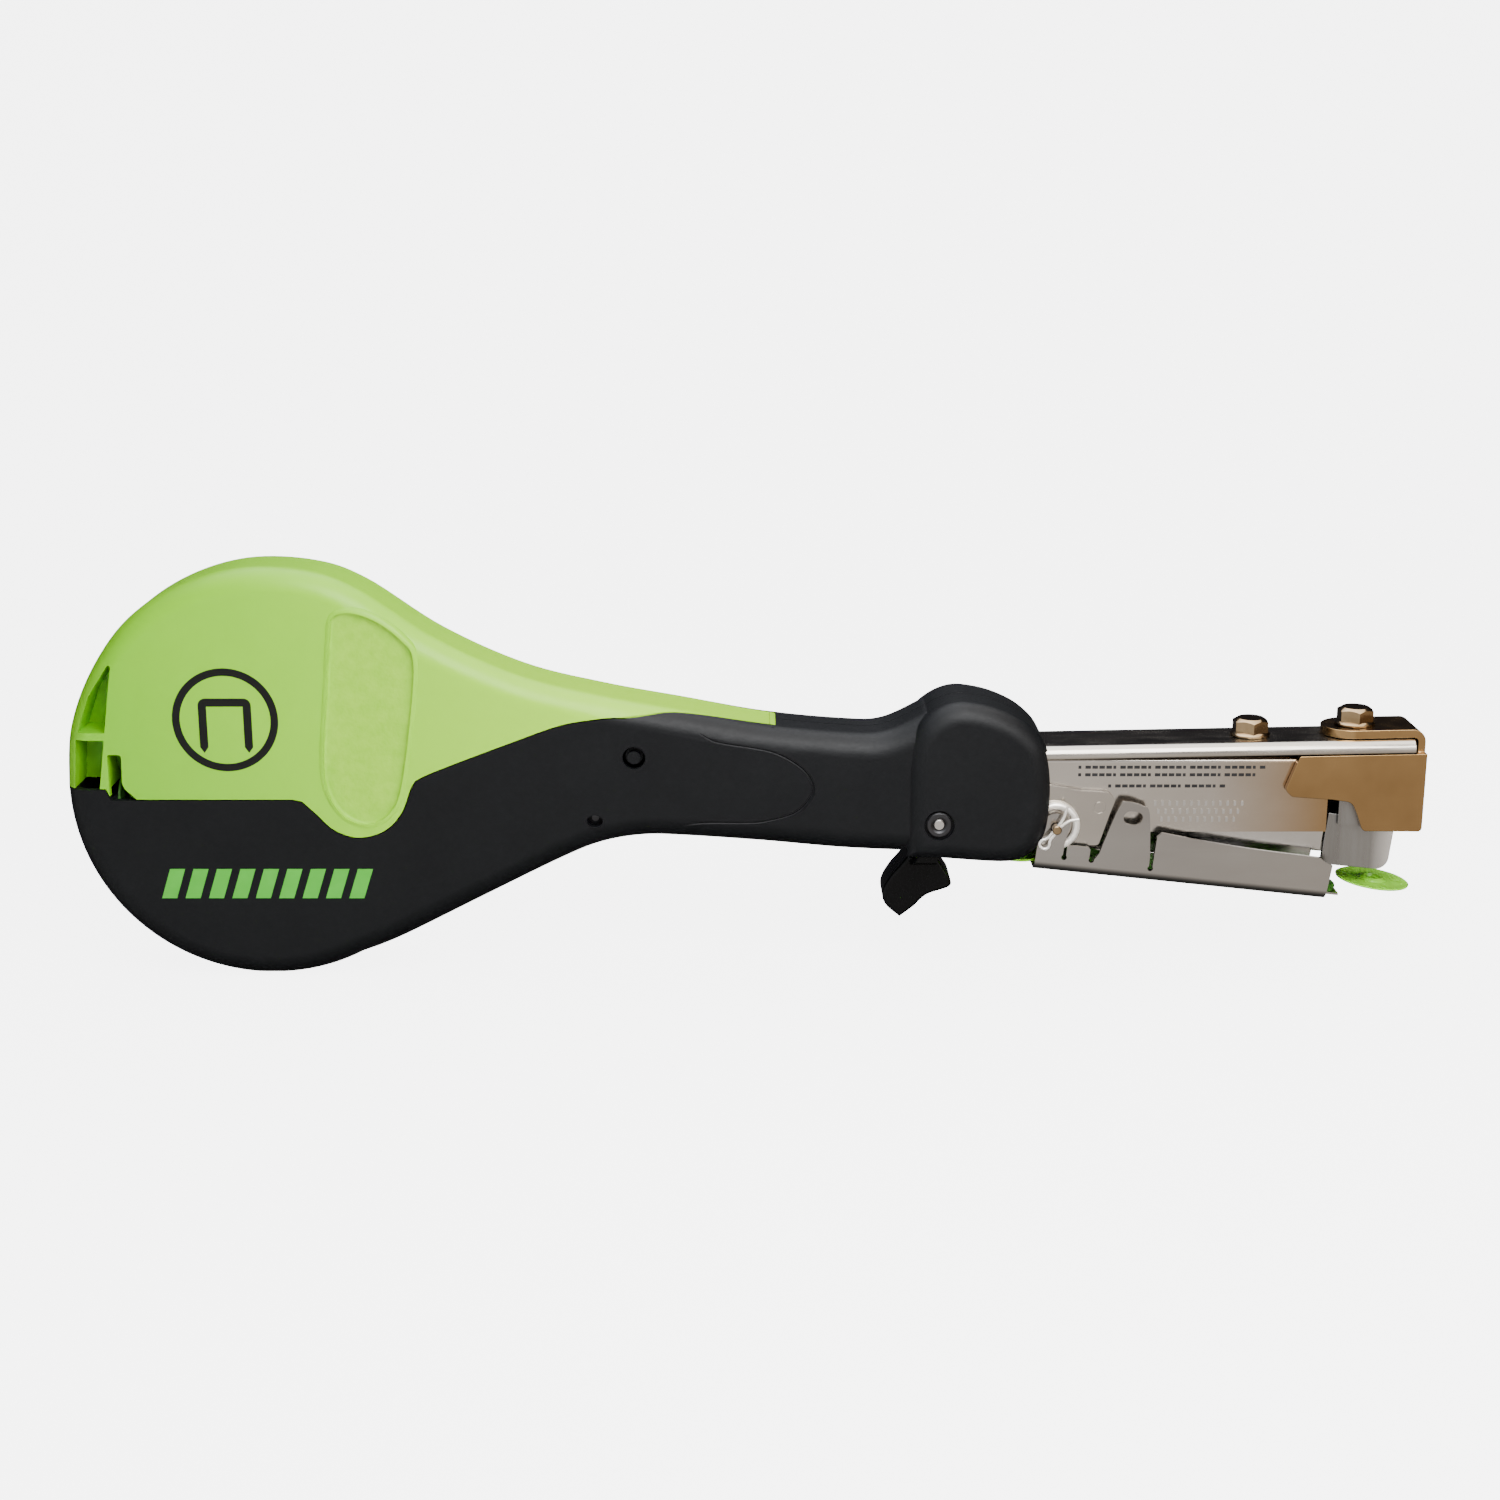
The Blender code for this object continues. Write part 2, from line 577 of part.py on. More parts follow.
def striker():
    rear, front, bottom = 165, 228.9, -4.9
    under = FRAME_SHEET + 0.4
    outline = [(rear, bottom), (rear, frame_top(rear) - under), (front, frame_top(front) - under)]
    outline += [(front, -25), (225.5, -25), (225.5, bottom)]
    block = slab("striker_block", outline, -8, 8)
    for x, _ in HEAD_BOLTS.values():
        cut(block, rod("bolt_hole", BOLT_HOLE, (x, 0), -20, 20, axis="z"))
    seat = BLADE_HALF + PIN_GAP
    cut(block, slab("blade_seat", box(BLADE[0] - PIN_GAP, BLADE[1] + PIN_GAP, -8, -0.7), -seat, seat))
    blade = slab("driver_blade", box(*BLADE, -24.5, -1), -BLADE_HALF, BLADE_HALF)
    return finish(block, "dark_steel"), finish(blade, "brushed_steel")


def head_bolt(name, x, base):
    """A hex bolt with a flange under its head."""
    bolt = rod(name, 6.9, (x, 0), base, base + 1.5, sides=32, axis="z")
    join(bolt, rod("hex", 6.4, (x, 0), base + 1.2, base + 5.6, sides=6, axis="z"))
    join(bolt, rod("crown", 4.9, (x, 0), base + 5.4, base + 6.1, sides=24, axis="z"))
    join(bolt, rod("shank", BOLT_RADIUS, (x, 0), -4.6, base + 2, axis="z"))
    return finish(bolt, "yellow_zinc")


def return_spring():
    """Pushes the magazine down, between the side channel's roof and the magazine's cover."""
    turns, bottom, top = 4, -11.2, -1.8
    path = []
    for i in range(turns * 12 + 1):
        angle = i * math.pi / 6
        height = bottom + (top - bottom) * i / (turns * 12)
        path.append((150 + 4 * math.cos(angle), 4 * math.sin(angle), height))
    return finish(wire("return_spring", path, 0.45), "brushed_steel")


# ---------------------------------------------------------------- magazine and cap rail


def magazine_channel():
    lug = arc(0, 0, 5, -100, -250, 8)
    outline = lug + [(22, 14.5), (93.6, 14.5), (93.6, 0), (12, 0)]
    body = slab("magazine_channel", outline, -MAGAZINE_HALF, MAGAZINE_HALF, frame=RAIL)
    inner = MAGAZINE_HALF - MAGAZINE_SHEET
    room = [(-20, -20), (-20, 30), (110, 30), (110, MAGAZINE_SHEET), (13, MAGAZINE_SHEET), (13, -20)]
    cut(body, slab("staple_room", room, -inner, inner, frame=RAIL))
    cut(body, rod("pivot_hole", PIVOT_HOLE, (0, 0), *THROUGH, frame=RAIL))
    pin_hole = SPRING_PIN_RADIUS + PIN_GAP
    cut(body, rod("spring_pin_hole", pin_hole, SPRING_PIN, *THROUGH, sides=12, frame=RAIL))
    return finish(body, "brushed_steel")


def magazine_nose():
    """The thick-walled end that guides the blade; it is open at the foot and slotted at the top."""
    outline = rounded([(94.3, -5), (94.3, 13.5), (117.9, 13.5, 2.5), (117.9, -5, 3.5)])
    nose = slab("magazine_nose", outline, -8.6, 8.6, frame=RAIL)
    cut(nose, slab("nose_room", box(90, 116.3, -20, 12.3), -7.1, 7.1, frame=RAIL))
    cut(nose, slab("blade_slot", box(111.3, 116.3, 0, 30), -6.2, 6.2, frame=RAIL))
    return finish(nose, "brushed_steel")


def staples():
    core = slab("staple_core", channel(3.7, 1.6, 9.3, 0.9, 1.0), 12.5, 111.6, axis="x", frame=RAIL)
    stick = slab("staple_stick", channel(5.0, 2.2, 10.3, 0.6, 0.9), 62, 111.8, axis="x", frame=RAIL)
    pusher = slab("staple_pusher", channel(5.2, 2.2, 11.0, 1.1, 1.2), 50, 61.6, axis="x", frame=RAIL)
    join(pusher, slab("pusher_hook", box(59.6, 61.2, 10.5, 13.6), -1.5, 1.5, frame=RAIL))
    return finish(core, "brushed_steel"), finish(stick, "brushed_steel"), finish(pusher, "dark_steel")


def pusher_spring():
    """An extension spring that draws the pusher towards the nose, and the pin that holds its front end."""
    turns, start, end = 13, 62.2, 90.2
    path = []
    for i in range(turns * 6 + 1):
        angle = i * math.pi / 3
        x = start + (end - start) * i / (turns * 6)
        path.append((x, math.cos(angle), SPRING_PIN[1] + math.sin(angle)))
    spring = finish(wire("pusher_spring", path, 0.25, frame=RAIL), "brushed_steel")
    pin = rod("spring_pin", SPRING_PIN_RADIUS, SPRING_PIN, -8.2, 8.2, sides=12, frame=RAIL)
    return spring, finish(pin, "brushed_steel")


def magazine_cover():
    plate = slab("magazine_cover", box(14, 93.4, 14.8, 15.8), -8.2, 8.2, frame=RAIL)
    return finish(plate, "nickel_steel")


def cap_rail():
    """The folded rail under the magazine: two ears on the pin, a low tab and a long side wall."""
    ear = [(-5.5, -16.1), (-5.5, -9)] + arc(0, 0, 5, 175, 15, 10) + [(3.8, -6), (3.8, -10.4)]
    tab = [(4.9, -10.4), (4.9, -6), (13, -6), (13, -10.4), (14.6, -10.4), (15.4, -9)]
    slotted_ear = smooth([(16.2, -7.7), (20.6, 9.4), (23.5, 11.6), (28.8, 10.7), (31.4, 8.2), (33.8, -7)], 2)
    wall = [(34, -11), (35.2, -11), (35.2, 0.6), (36.8, 1.9), (51, 0.6), (68.6, -0.5), (92.5, -1.1)]
    outline = ear + tab + slotted_ear + wall + [(94.1, -2.4), (97.1, -3.5), (96.5, -16.1)]
    rail = slab("cap_rail", outline, -RAIL_HALF, RAIL_HALF, frame=RAIL)
    inner = RAIL_HALF - RAIL_SHEET
    cut(rail, slab("cap_room", box(-20, 120, -15.1, 30), -inner, inner, frame=RAIL))
    join(rail, slab("floor_tongue", box(93, 102.8, -16.0, -15.2), -8, 8, frame=RAIL))
    cut(rail, rod("pivot_hole", PIVOT_HOLE, (0, 0), *THROUGH, frame=RAIL))
    slot = rounded([(22.7, 3.7, 2.3), (22.7, 8.5, 2.3), (29.3, 8.5, 2.3), (29.3, 3.7, 2.3)])
    cut(rail, slab("ear_slot", slot, *THROUGH, frame=RAIL))
    return finish(rail, "nickel_steel")


def cotter_point(along, aside):
    """A point in the split pin's plane, measured along and across its shank from the pivot."""
    lean = math.radians(COTTER_LEAN)
    x = PIVOT[0] + along * math.cos(lean) - aside * math.sin(lean)
    z = PIVOT[1] + along * math.sin(lean) + aside * math.cos(lean)
    return x, COTTER_Y, z


def pivot_pin():
    pin = rod("rail_pivot_pin", PIVOT_RADIUS, PIVOT, -19.0, 16.8, sides=20)
    join(pin, rod("pin_head", 3.2, PIVOT, 15.3, 16.8, sides=20))
    cut(pin, wire("cotter_hole", [cotter_point(-6, 0), cotter_point(6, 0)], 1.05))
    return finish(pin, "yellow_zinc")


def split_cotter():
    """A split pin through the pivot pin: an eye below, two spread legs above."""
    eye = arc(-6.6, 0, 1.7, 35, 325, 12)
    upper = [(8.4, 2.4), (5.0, 1.0), (2.0, 0.52), (-4.0, 0.52)]
    lower = [(-4.0, -0.52), (2.0, -0.52), (5.0, -1.4), (7.4, -3.6)]
    path = [cotter_point(*place) for place in upper + eye + lower]
    return finish(wire("split_cotter", path, 0.42), "yellow_zinc")


def feed_shuttle():
    """The slider that pushes the strip forward by one cap, with its pawl bent down between two caps."""
    shuttle = slab("feed_shuttle", box(44, 76, -12.2, -11.0), -7, 7, frame=RAIL)
    join(shuttle, slab("shuttle_rib", box(46, 60, -11.4, -7.5), -1.2, 1.2, frame=RAIL))
    join(shuttle, slab("pawl", box(74.8, 76, -13.2, -11.2), -3, 3, frame=RAIL))
    return finish(shuttle, "dark_steel")


# ---------------------------------------------------------------- release lever


def release_lever():
    """A yoke: two arms on the bolt, either side of the cap strip, and a curved pad below the housing."""
    rear = smooth([(55.1, -36.0), (52.7, -39.2), (48.9, -43.9), (46.4, -49.2), (47.4, -54.0), (52.5, -58.6)], 3)
    front = smooth([(57.5, -54.7), (61.9, -50.5), (69.6, -47.6), (70.0, -44.6), (67.8, -40.9), (64.7, -36.0)], 3)
    arms = arc(*LEVER_PIVOT, 5, 190, -10, 10) + [(65.0, -33.0), (64.6, -38.4), (55.6, -38.4), (59.2, -33.0)]
    lever = slab("release_lever", arms, -LEVER_ARMS[1], LEVER_ARMS[1])
    cut(lever, slab("strip_room", box(40, 80, -35.4, 0), -LEVER_ARMS[0], LEVER_ARMS[0]))
    for side in (-1, 1):
        taper = [(side * 16.2, -36.0), (side * 30, -36.0), (side * 30, -60), (side * 6, -60), (side * 6, -40.4)]
        cut(lever, slab("taper", taper, 40, 80, axis="x"))
    join(lever, slab("pad", rear + front, -PAD_HALF, PAD_HALF, edge=1.2, steps=1))
    cut(lever, rod("lever_hole", LEVER_HOLE, LEVER_PIVOT, *THROUGH))
    return finish(lever, "black_plastic")


def lever_fasteners():
    bolt = rod("lever_pivot_bolt", LEVER_BOLT_RADIUS, LEVER_PIVOT, -19.0, 18.2, sides=20)
    join(bolt, rod("bolt_head", 4.4, LEVER_PIVOT, 18.0, 19.3, sides=24))
    nut = rod("lever_pivot_nut", 4.4, LEVER_PIVOT, -19.2, -18.0, sides=24)
    cut(nut, rod("nut_bore", LEVER_BOLT_RADIUS + PIN_GAP, LEVER_PIVOT, -30, 0, sides=20))
    finish(bolt, "brushed_steel")
    finish(nut, "brushed_steel")


def lever_spring():
    """A torsion spring on the bolt, between the side channel and the far arm."""
    far, turn_radius = 12.7, 3.6
    path = [(74.5, far, -25.4)]
    for i in range(26):
        angle = math.radians(-60 + i * 30)
        x = LEVER_PIVOT[0] + turn_radius * math.cos(angle)
        path.append((x, far - i * 0.075, LEVER_PIVOT[1] + turn_radius * math.sin(angle)))
    path.append((66, 10.8, -11))
    return finish(wire("lever_spring", path, 0.4), "brushed_steel")


# ---------------------------------------------------------------- the whole tool


def main():
    outer, room = body_shell()
    housing_half("housing_near", outer, room, -1)
    housing_half("housing_far", outer, room, 1)
    lid = drum_lid(outer, baked("lid_room", room))
    for index, place in enumerate(SCREWS, 1):
        housing_screw(index, place)
    finish(rod("lid_hinge_pin", LID_PIN_RADIUS, LID_HINGE, -10.9, 10.9, sides=12), "brushed_steel")
    pivot("lid_axis", LID_HINGE, lid)

    pivot("coil_axis", COIL_CENTRE, *cap_coil())
    cap_strip_handle()

    hammer_frame()
    side_channel()
    for side, word in ((-1, "near"), (1, "far")):
        pivot_cheek(f"pivot_cheek_{word}", side)
        retaining_ring(f"retaining_ring_{word}", side)
    front_shoe()
    driver_guide()
    striker()
    for name, (x, base) in HEAD_BOLTS.items():
        head_bolt(name, x, base)
    finish(rod("frame_anchor_pin", ANCHOR_RADIUS, ANCHOR_PIN, -16.4, 16.4), "brushed_steel")
    return_spring()

    core, stick, pusher = staples()
    swinging = [magazine_channel(), magazine_nose(), magazine_cover(), core, stick, pusher, *pusher_spring()]
    swinging += [cap_rail(), feed_shuttle(), *rail_caps(), pivot_pin(), split_cotter()]
    pivot("magazine_axis", PIVOT, *swinging)

    lever_fasteners()
    pivot("lever_axis", LEVER_PIVOT, release_lever())
    lever_spring()


main()
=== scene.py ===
"""The looks of the cap-feeding hammer tacker: finer shells, folded steel, the strip of caps, and finishes.

Lengths are millimetres and angles are degrees in the drawing's own frame, whose origin lies at SHIFT.
"""

import math

import bmesh
import bpy
from mathutils import Matrix, Vector
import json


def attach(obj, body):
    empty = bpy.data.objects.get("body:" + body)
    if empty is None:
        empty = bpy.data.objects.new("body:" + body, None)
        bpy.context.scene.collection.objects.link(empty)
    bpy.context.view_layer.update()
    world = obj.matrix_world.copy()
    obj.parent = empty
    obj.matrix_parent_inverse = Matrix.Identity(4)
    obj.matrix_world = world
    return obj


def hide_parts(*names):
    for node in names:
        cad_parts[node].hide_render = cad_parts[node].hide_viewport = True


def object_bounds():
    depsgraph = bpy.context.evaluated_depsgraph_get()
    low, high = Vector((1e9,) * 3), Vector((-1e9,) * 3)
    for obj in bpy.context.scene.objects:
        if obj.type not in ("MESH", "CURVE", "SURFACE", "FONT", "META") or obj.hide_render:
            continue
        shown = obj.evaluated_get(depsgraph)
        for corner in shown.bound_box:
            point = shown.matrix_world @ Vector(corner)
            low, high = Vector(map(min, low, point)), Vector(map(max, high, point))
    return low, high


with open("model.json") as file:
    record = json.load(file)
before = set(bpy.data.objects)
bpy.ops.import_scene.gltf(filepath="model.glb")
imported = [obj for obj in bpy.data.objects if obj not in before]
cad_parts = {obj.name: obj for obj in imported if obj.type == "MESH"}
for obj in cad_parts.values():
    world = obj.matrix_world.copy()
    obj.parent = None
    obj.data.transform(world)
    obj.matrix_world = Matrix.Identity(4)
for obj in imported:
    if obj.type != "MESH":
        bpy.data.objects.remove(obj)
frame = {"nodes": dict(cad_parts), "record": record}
cad_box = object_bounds()
JOINTS = {joint["name"]: joint for joint in frame["record"]["behaviour"]["joints"]}

MM = 0.001
WELD = 0.00001

# The same drawing as the part's
HALF_WIDTH = 16.8
COVER_HALF_WIDTH = 19.5
WALL = 2.6
EDGE_RADIUS = 8.0
COVER_EDGE_RADIUS = 7.0
SEAM_GAP = 0.2
SPLIT_GAP = 0.15
DRUM_ARC = (-167.2, -10.7, 67.4)
DRUM_BOTTOM = -77.96
LID_HINGE = (7.5, 8.9)
LID_BORE = 1.2
KNUCKLE_RADIUS = 2.2
TIP_HALF = 8.6
FRONT_OPENING = 15.9
COIL_CENTRE = (-162.0, -9.0)
COIL_RADIUS = 56.0
COIL_BORE = 16.0
CAP_RADIUS = 12.7
CAP_PITCH = 25.8
FRAME_HALF = 13.0
FRAME_SHEET = 2.6
FRAME_START = (102.5, 2.8)
FRAME_TILT = -1.109
CHANNEL_HALF = 10.0
SHOE_SHEET = 2.6
HEAD_BOLTS = {"head_bolt_rear": (173.5, 5.75), "head_bolt_front": (209.6, 9.65)}
BOLT_HOLE = 3.3
PIVOT = (105.3, -23.6)
REST_TILT = 6.14
PIVOT_RADIUS = 1.6
PIVOT_HOLE = 1.85
RAIL_HALF = 15.0
RAIL_SHEET = 1.3
LEVER_PIVOT = (64.8, -21.6)
LEVER_HOLE = 2.3
LEVER_ARMS = (13.3, 15.6)
PAD_HALF = 8.0
ANCHOR_PIN = (84.0, -14.0)
ANCHOR_HOLE = 2.2
SCREWS = ((-39.6, 1.6), (-53.3, -20.9), (-97.0, -38.0), (-199.4, -61.2), (-224.5, -22.0), (30.0, 0.0))
COTTER_Y = -17.6
COTTER_LEAN = 52.0
THROUGH = (-30, 30)

SHIFT = Vector(JOINTS["magazine_swing"]["pos_m"]) - Vector((PIVOT[0], 0, PIVOT[1])) * MM
ROW = Matrix.Translation(SHIFT)
RAIL = ROW @ Matrix.Translation((PIVOT[0] * MM, 0, PIVOT[1] * MM))
RAIL = RAIL @ Matrix.Rotation(math.radians(REST_TILT), 4, "Y")
FRAME = ROW @ Matrix.Translation((FRAME_START[0] * MM, 0, FRAME_START[1] * MM))
FRAME = FRAME @ Matrix.Rotation(math.radians(FRAME_TILT), 4, "Y")
TURN = {
    "x": Matrix(((0, 0, 1, 0), (1, 0, 0, 0), (0, 1, 0, 0), (0, 0, 0, 1))),
    "y": Matrix.Rotation(math.pi / 2, 4, "X"),
    "z": Matrix.Identity(4),
}

# ---------------------------------------------------------------- outlines


def arc(centre_x, centre_z, radius, start, end, steps):
    """Points on an arc, with both of its ends."""
    angles = (math.radians(start + (end - start) * i / steps) for i in range(steps + 1))
    return [(centre_x + radius * math.cos(a), centre_z + radius * math.sin(a)) for a in angles]


def smooth(points, steps=6, closed=False):
    """A Catmull-Rom curve through the points."""
    count = len(points)
    line = []
    for i in range(count if closed else count - 1):
        picks = [(i + k) % count if closed else min(max(i + k, 0), count - 1) for k in (-1, 0, 1, 2)]
        near = [points[k] for k in picks]
        for j in range(steps):
            t = j / steps
            weights = (-t + 2 * t**2 - t**3, 2 - 5 * t**2 + 3 * t**3, t + 4 * t**2 - 3 * t**3, t**3 - t**2)
            line.append(tuple(sum(w * p[axis] for w, p in zip(weights, near)) / 2 for axis in (0, 1)))
    return line if closed else line + [tuple(points[-1])]


def rounded(corners, steps=6):
    """A closed outline whose corners (x, z, radius) are rounded; a corner without a radius stays sharp."""
    line = []
    for i, corner in enumerate(corners):
        here = Vector(corner[:2])
        if len(corner) == 2:
            line.append(tuple(here))
            continue
        back = (Vector(corners[i - 1][:2]) - here).normalized()
        ahead = (Vector(corners[(i + 1) % len(corners)][:2]) - here).normalized()
        half = back.angle(ahead) / 2
        centre = here + (back + ahead).normalized() * corner[2] / math.sin(half)
        start = here + back * corner[2] / math.tan(half) - centre
        end = here + ahead * corner[2] / math.tan(half) - centre
        turn = math.atan2(start.cross(end), start.dot(end))
        for k in range(steps + 1):
            line.append(tuple(centre + Matrix.Rotation(turn * k / steps, 2) @ start))
    return line


def box(x0, x1, z0, z1):
    return [(x0, z0), (x0, z1), (x1, z1), (x1, z0)]


def span(side, inner, outer):
    """The reach from inner to outer on one side of the middle plane, as (low, high)."""
    return sorted((side * inner, side * outer))


def frame_top(x):
    """Height of the hammer frame's top face."""
    return FRAME_START[1] + 1.4 - math.tan(math.radians(FRAME_TILT)) * (x - FRAME_START[0])


def channel(half, bottom, top, sheet, bend):
    """The section of a folded sheet channel, open at the bottom."""
    inner = max(bend - sheet, 0.3)
    outer = [(-half, bottom), (-half, top, bend), (half, top, bend), (half, bottom)]
    inside = [(half - sheet, bottom), (half - sheet, top - sheet, inner)]
    return rounded(outer + inside + [(sheet - half, top - sheet, inner), (sheet - half, bottom)])


# ---------------------------------------------------------------- solids

PLAIN_CREASE = 40


def add(name, mesh):
    obj = bpy.data.objects.new(name, mesh)
    bpy.context.scene.collection.objects.link(obj)
    return obj


def settle(mesh, matrix):
    """Places a mesh, welds its caps and turns its faces outwards."""
    mesh.transform(matrix)
    work = bmesh.new()
    work.from_mesh(mesh)
    bmesh.ops.remove_doubles(work, verts=work.verts, dist=WELD)
    bmesh.ops.recalc_face_normals(work, faces=work.faces)
    work.to_mesh(mesh)
    work.free()


def from_curve(name, curve, matrix):
    maker = add(name, curve)
    bpy.context.view_layer.update()
    mesh = bpy.data.meshes.new_from_object(maker.evaluated_get(bpy.context.evaluated_depsgraph_get()))
    bpy.data.objects.remove(maker)
    settle(mesh, matrix)
    return add(name, mesh)


def slab(name, outline, low, high, axis="y", edge=0.0, steps=6, shrink=0.0, place=ROW):
    """An outline, shrunk if need be, pulled from low to high along an axis, with its rims rounded by edge."""
    curve = bpy.data.curves.new(name, "CURVE")
    curve.dimensions = "2D"
    curve.fill_mode = "BOTH"
    spline = curve.splines.new("POLY")
    spline.points.add(len(outline) - 1)
    for point, (a, b) in zip(spline.points, outline):
        point.co = (a * MM, b * MM, 0, 1)
    spline.use_cyclic_u = True
    curve.extrude = ((high - low) / 2 - edge) * MM
    curve.bevel_depth = edge * MM
    curve.offset = -(edge + shrink) * MM
    curve.bevel_resolution = steps
    middle = (low + high) / 2 * MM * (-1 if axis == "y" else 1)
    return from_curve(name, curve, place @ TURN[axis] @ Matrix.Translation((0, 0, middle)))


def rod(name, radius, centre, low, high, sides=48, axis="y", place=ROW, end=None):
    """A cylinder, or a cone if it ends in another radius, along an axis through the centre."""
    mesh = bpy.data.meshes.new(name)
    work = bmesh.new()
    radii = {"radius1": radius * MM, "radius2": (radius if end is None else end) * MM}
    bmesh.ops.create_cone(work, cap_ends=True, segments=sides, depth=(high - low) * MM, **radii)
    work.to_mesh(mesh)
    work.free()
    middle = (low + high) / 2 * MM * (-1 if axis == "y" else 1)
    settle(mesh, place @ TURN[axis] @ Matrix.Translation((centre[0] * MM, centre[1] * MM, middle)))
    return add(name, mesh)


def turned(name, profile, centre, axis="y", place=ROW, sides=64):
    """A profile of (radius, height) points turned about an axis through the centre."""
    work = bmesh.new()
    points = [work.verts.new((r * MM, 0, h * MM * (-1 if axis == "y" else 1))) for r, h in profile]
    for a, b in zip(points, points[1:]):
        work.edges.new((a, b))
    mesh = bpy.data.meshes.new(name)
    work.to_mesh(mesh)
    work.free()
    obj = add(name, mesh)
    screw = obj.modifiers.new("turn", "SCREW")
    screw.steps = screw.render_steps = sides
    screw.use_merge_vertices = True
    screw.merge_threshold = WELD
    bpy.context.view_layer.update()
    obj.data = bpy.data.meshes.new_from_object(obj.evaluated_get(bpy.context.evaluated_depsgraph_get()))
    obj.modifiers.clear()
    settle(obj.data, place @ TURN[axis] @ Matrix.Translation((centre[0] * MM, centre[1] * MM, 0)))
    return obj


def wire(name, path, radius, place=ROW, resolution=3, cyclic=False):
    """A round wire through a list of (x, y, z) points."""
    curve = bpy.data.curves.new(name, "CURVE")
    curve.dimensions = "3D"
    curve.bevel_depth = radius * MM
    curve.bevel_resolution = resolution
    curve.use_fill_caps = True
    spline = curve.splines.new("POLY")
    spline.points.add(len(path) - 1)
    for point, spot in zip(spline.points, path):
        point.co = (*(c * MM for c in spot), 1)
    spline.use_cyclic_u = cyclic
    return from_curve(name, curve, place)


def combine(base, operation, *tools):
    for tool in tools:
        modifier = base.modifiers.new(tool.name, "BOOLEAN")
        modifier.operation = operation
        modifier.solver = "EXACT"
        modifier.material_mode = "TRANSFER"
        modifier.object = tool
    bpy.context.view_layer.update()
    base.data = bpy.data.meshes.new_from_object(base.evaluated_get(bpy.context.evaluated_depsgraph_get()))
    base.modifiers.clear()
    for tool in tools:
        bpy.data.objects.remove(tool)
    return base


def cut(base, *tools):
    return combine(base, "DIFFERENCE", *tools)


def join(base, *tools):
    return combine(base, "UNION", *tools)


def keep(base, *tools):
    return combine(base, "INTERSECT", *tools)


def copy_of(name, obj):
    return add(name, obj.data.copy())


def merge_flats(obj, angle):
    """Merges faces that lie flat to each other within an angle, and shades the rest smoothly."""
    work = bmesh.new()
    work.from_mesh(obj.data)
    bmesh.ops.dissolve_limit(work, angle_limit=math.radians(angle), verts=work.verts, edges=work.edges)
    work.to_mesh(obj.data)
    work.free()
    obj.data.shade_smooth()


def ease(obj, width=0.25, segments=2, angle=35):
    """Breaks the sharp edges of a solid and evens its shading."""
    merge_flats(obj, 0.4)
    bevel = obj.modifiers.new("bevel", "BEVEL")
    bevel.width = width * MM
    bevel.segments = segments
    bevel.limit_method = "ANGLE"
    bevel.angle_limit = math.radians(angle)
    bevel.use_clamp_overlap = True
    bevel.harden_normals = False
    normal = obj.modifiers.new("normals", "WEIGHTED_NORMAL")
    normal.keep_sharp = True
    normal.weight = 80
    return obj


def crease(obj, angle=28):
    """Smooth shading between the sharp edges of a large moulded shell."""
    merge_flats(obj, 0.2)
    obj.data.set_sharp_from_angle(angle=math.radians(angle))
    normal = obj.modifiers.new("normals", "WEIGHTED_NORMAL")
    normal.keep_sharp = True
    return obj


def dress(obj, body, material, slot, *nodes):
    """Gives a piece its body, its finish and the CAD nodes it stands for. Stippled faces stay stippled."""
    slots = list(obj.data.materials)
    stippled = [bool(slots) and slots[polygon.material_index] is STIPPLE for polygon in obj.data.polygons]
    obj.data.materials.clear()
    obj.data.materials.append(material)
    if any(stippled):
        obj.data.materials.append(STIPPLE)
    for polygon, rough in zip(obj.data.polygons, stippled):
        polygon.material_index = int(rough)
    if "normals" not in obj.modifiers:
        obj.data.shade_smooth()
        obj.data.set_sharp_from_angle(angle=math.radians(PLAIN_CREASE))
    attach(obj, body)
    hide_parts(*nodes)
    return obj


# ---------------------------------------------------------------- finishes


def node(tree, kind, **settings):
    """A new shader node, with settings for its inputs or its own properties."""
    made = tree.nodes.new(kind)
    for name, value in settings.items():
        if name in made.inputs:
            made.inputs[name].default_value = value
        else:
            setattr(made, name, value)
    return made


def noise(tree, where, scale, detail=3, stretch=(1, 1, 1)):
    """Noise in the object's own space, stretched along an axis for a brushed look."""
    mapping = node(tree, "ShaderNodeMapping")
    mapping.inputs["Scale"].default_value = stretch
    tree.links.new(where.outputs["Object"], mapping.inputs["Vector"])
    made = node(tree, "ShaderNodeTexNoise", Scale=scale, Detail=detail)
    tree.links.new(mapping.outputs["Vector"], made.inputs["Vector"])
    return made.outputs["Fac"]


def spread(tree, source, low, high, start=0.3, end=0.7):
    """Maps a value between start and end to one between low and high."""
    made = node(tree, "ShaderNodeMapRange")
    for name, value in (("From Min", start), ("From Max", end), ("To Min", low), ("To Max", high)):
        made.inputs[name].default_value = value
    tree.links.new(source, made.inputs["Value"])
    return made.outputs["Result"]


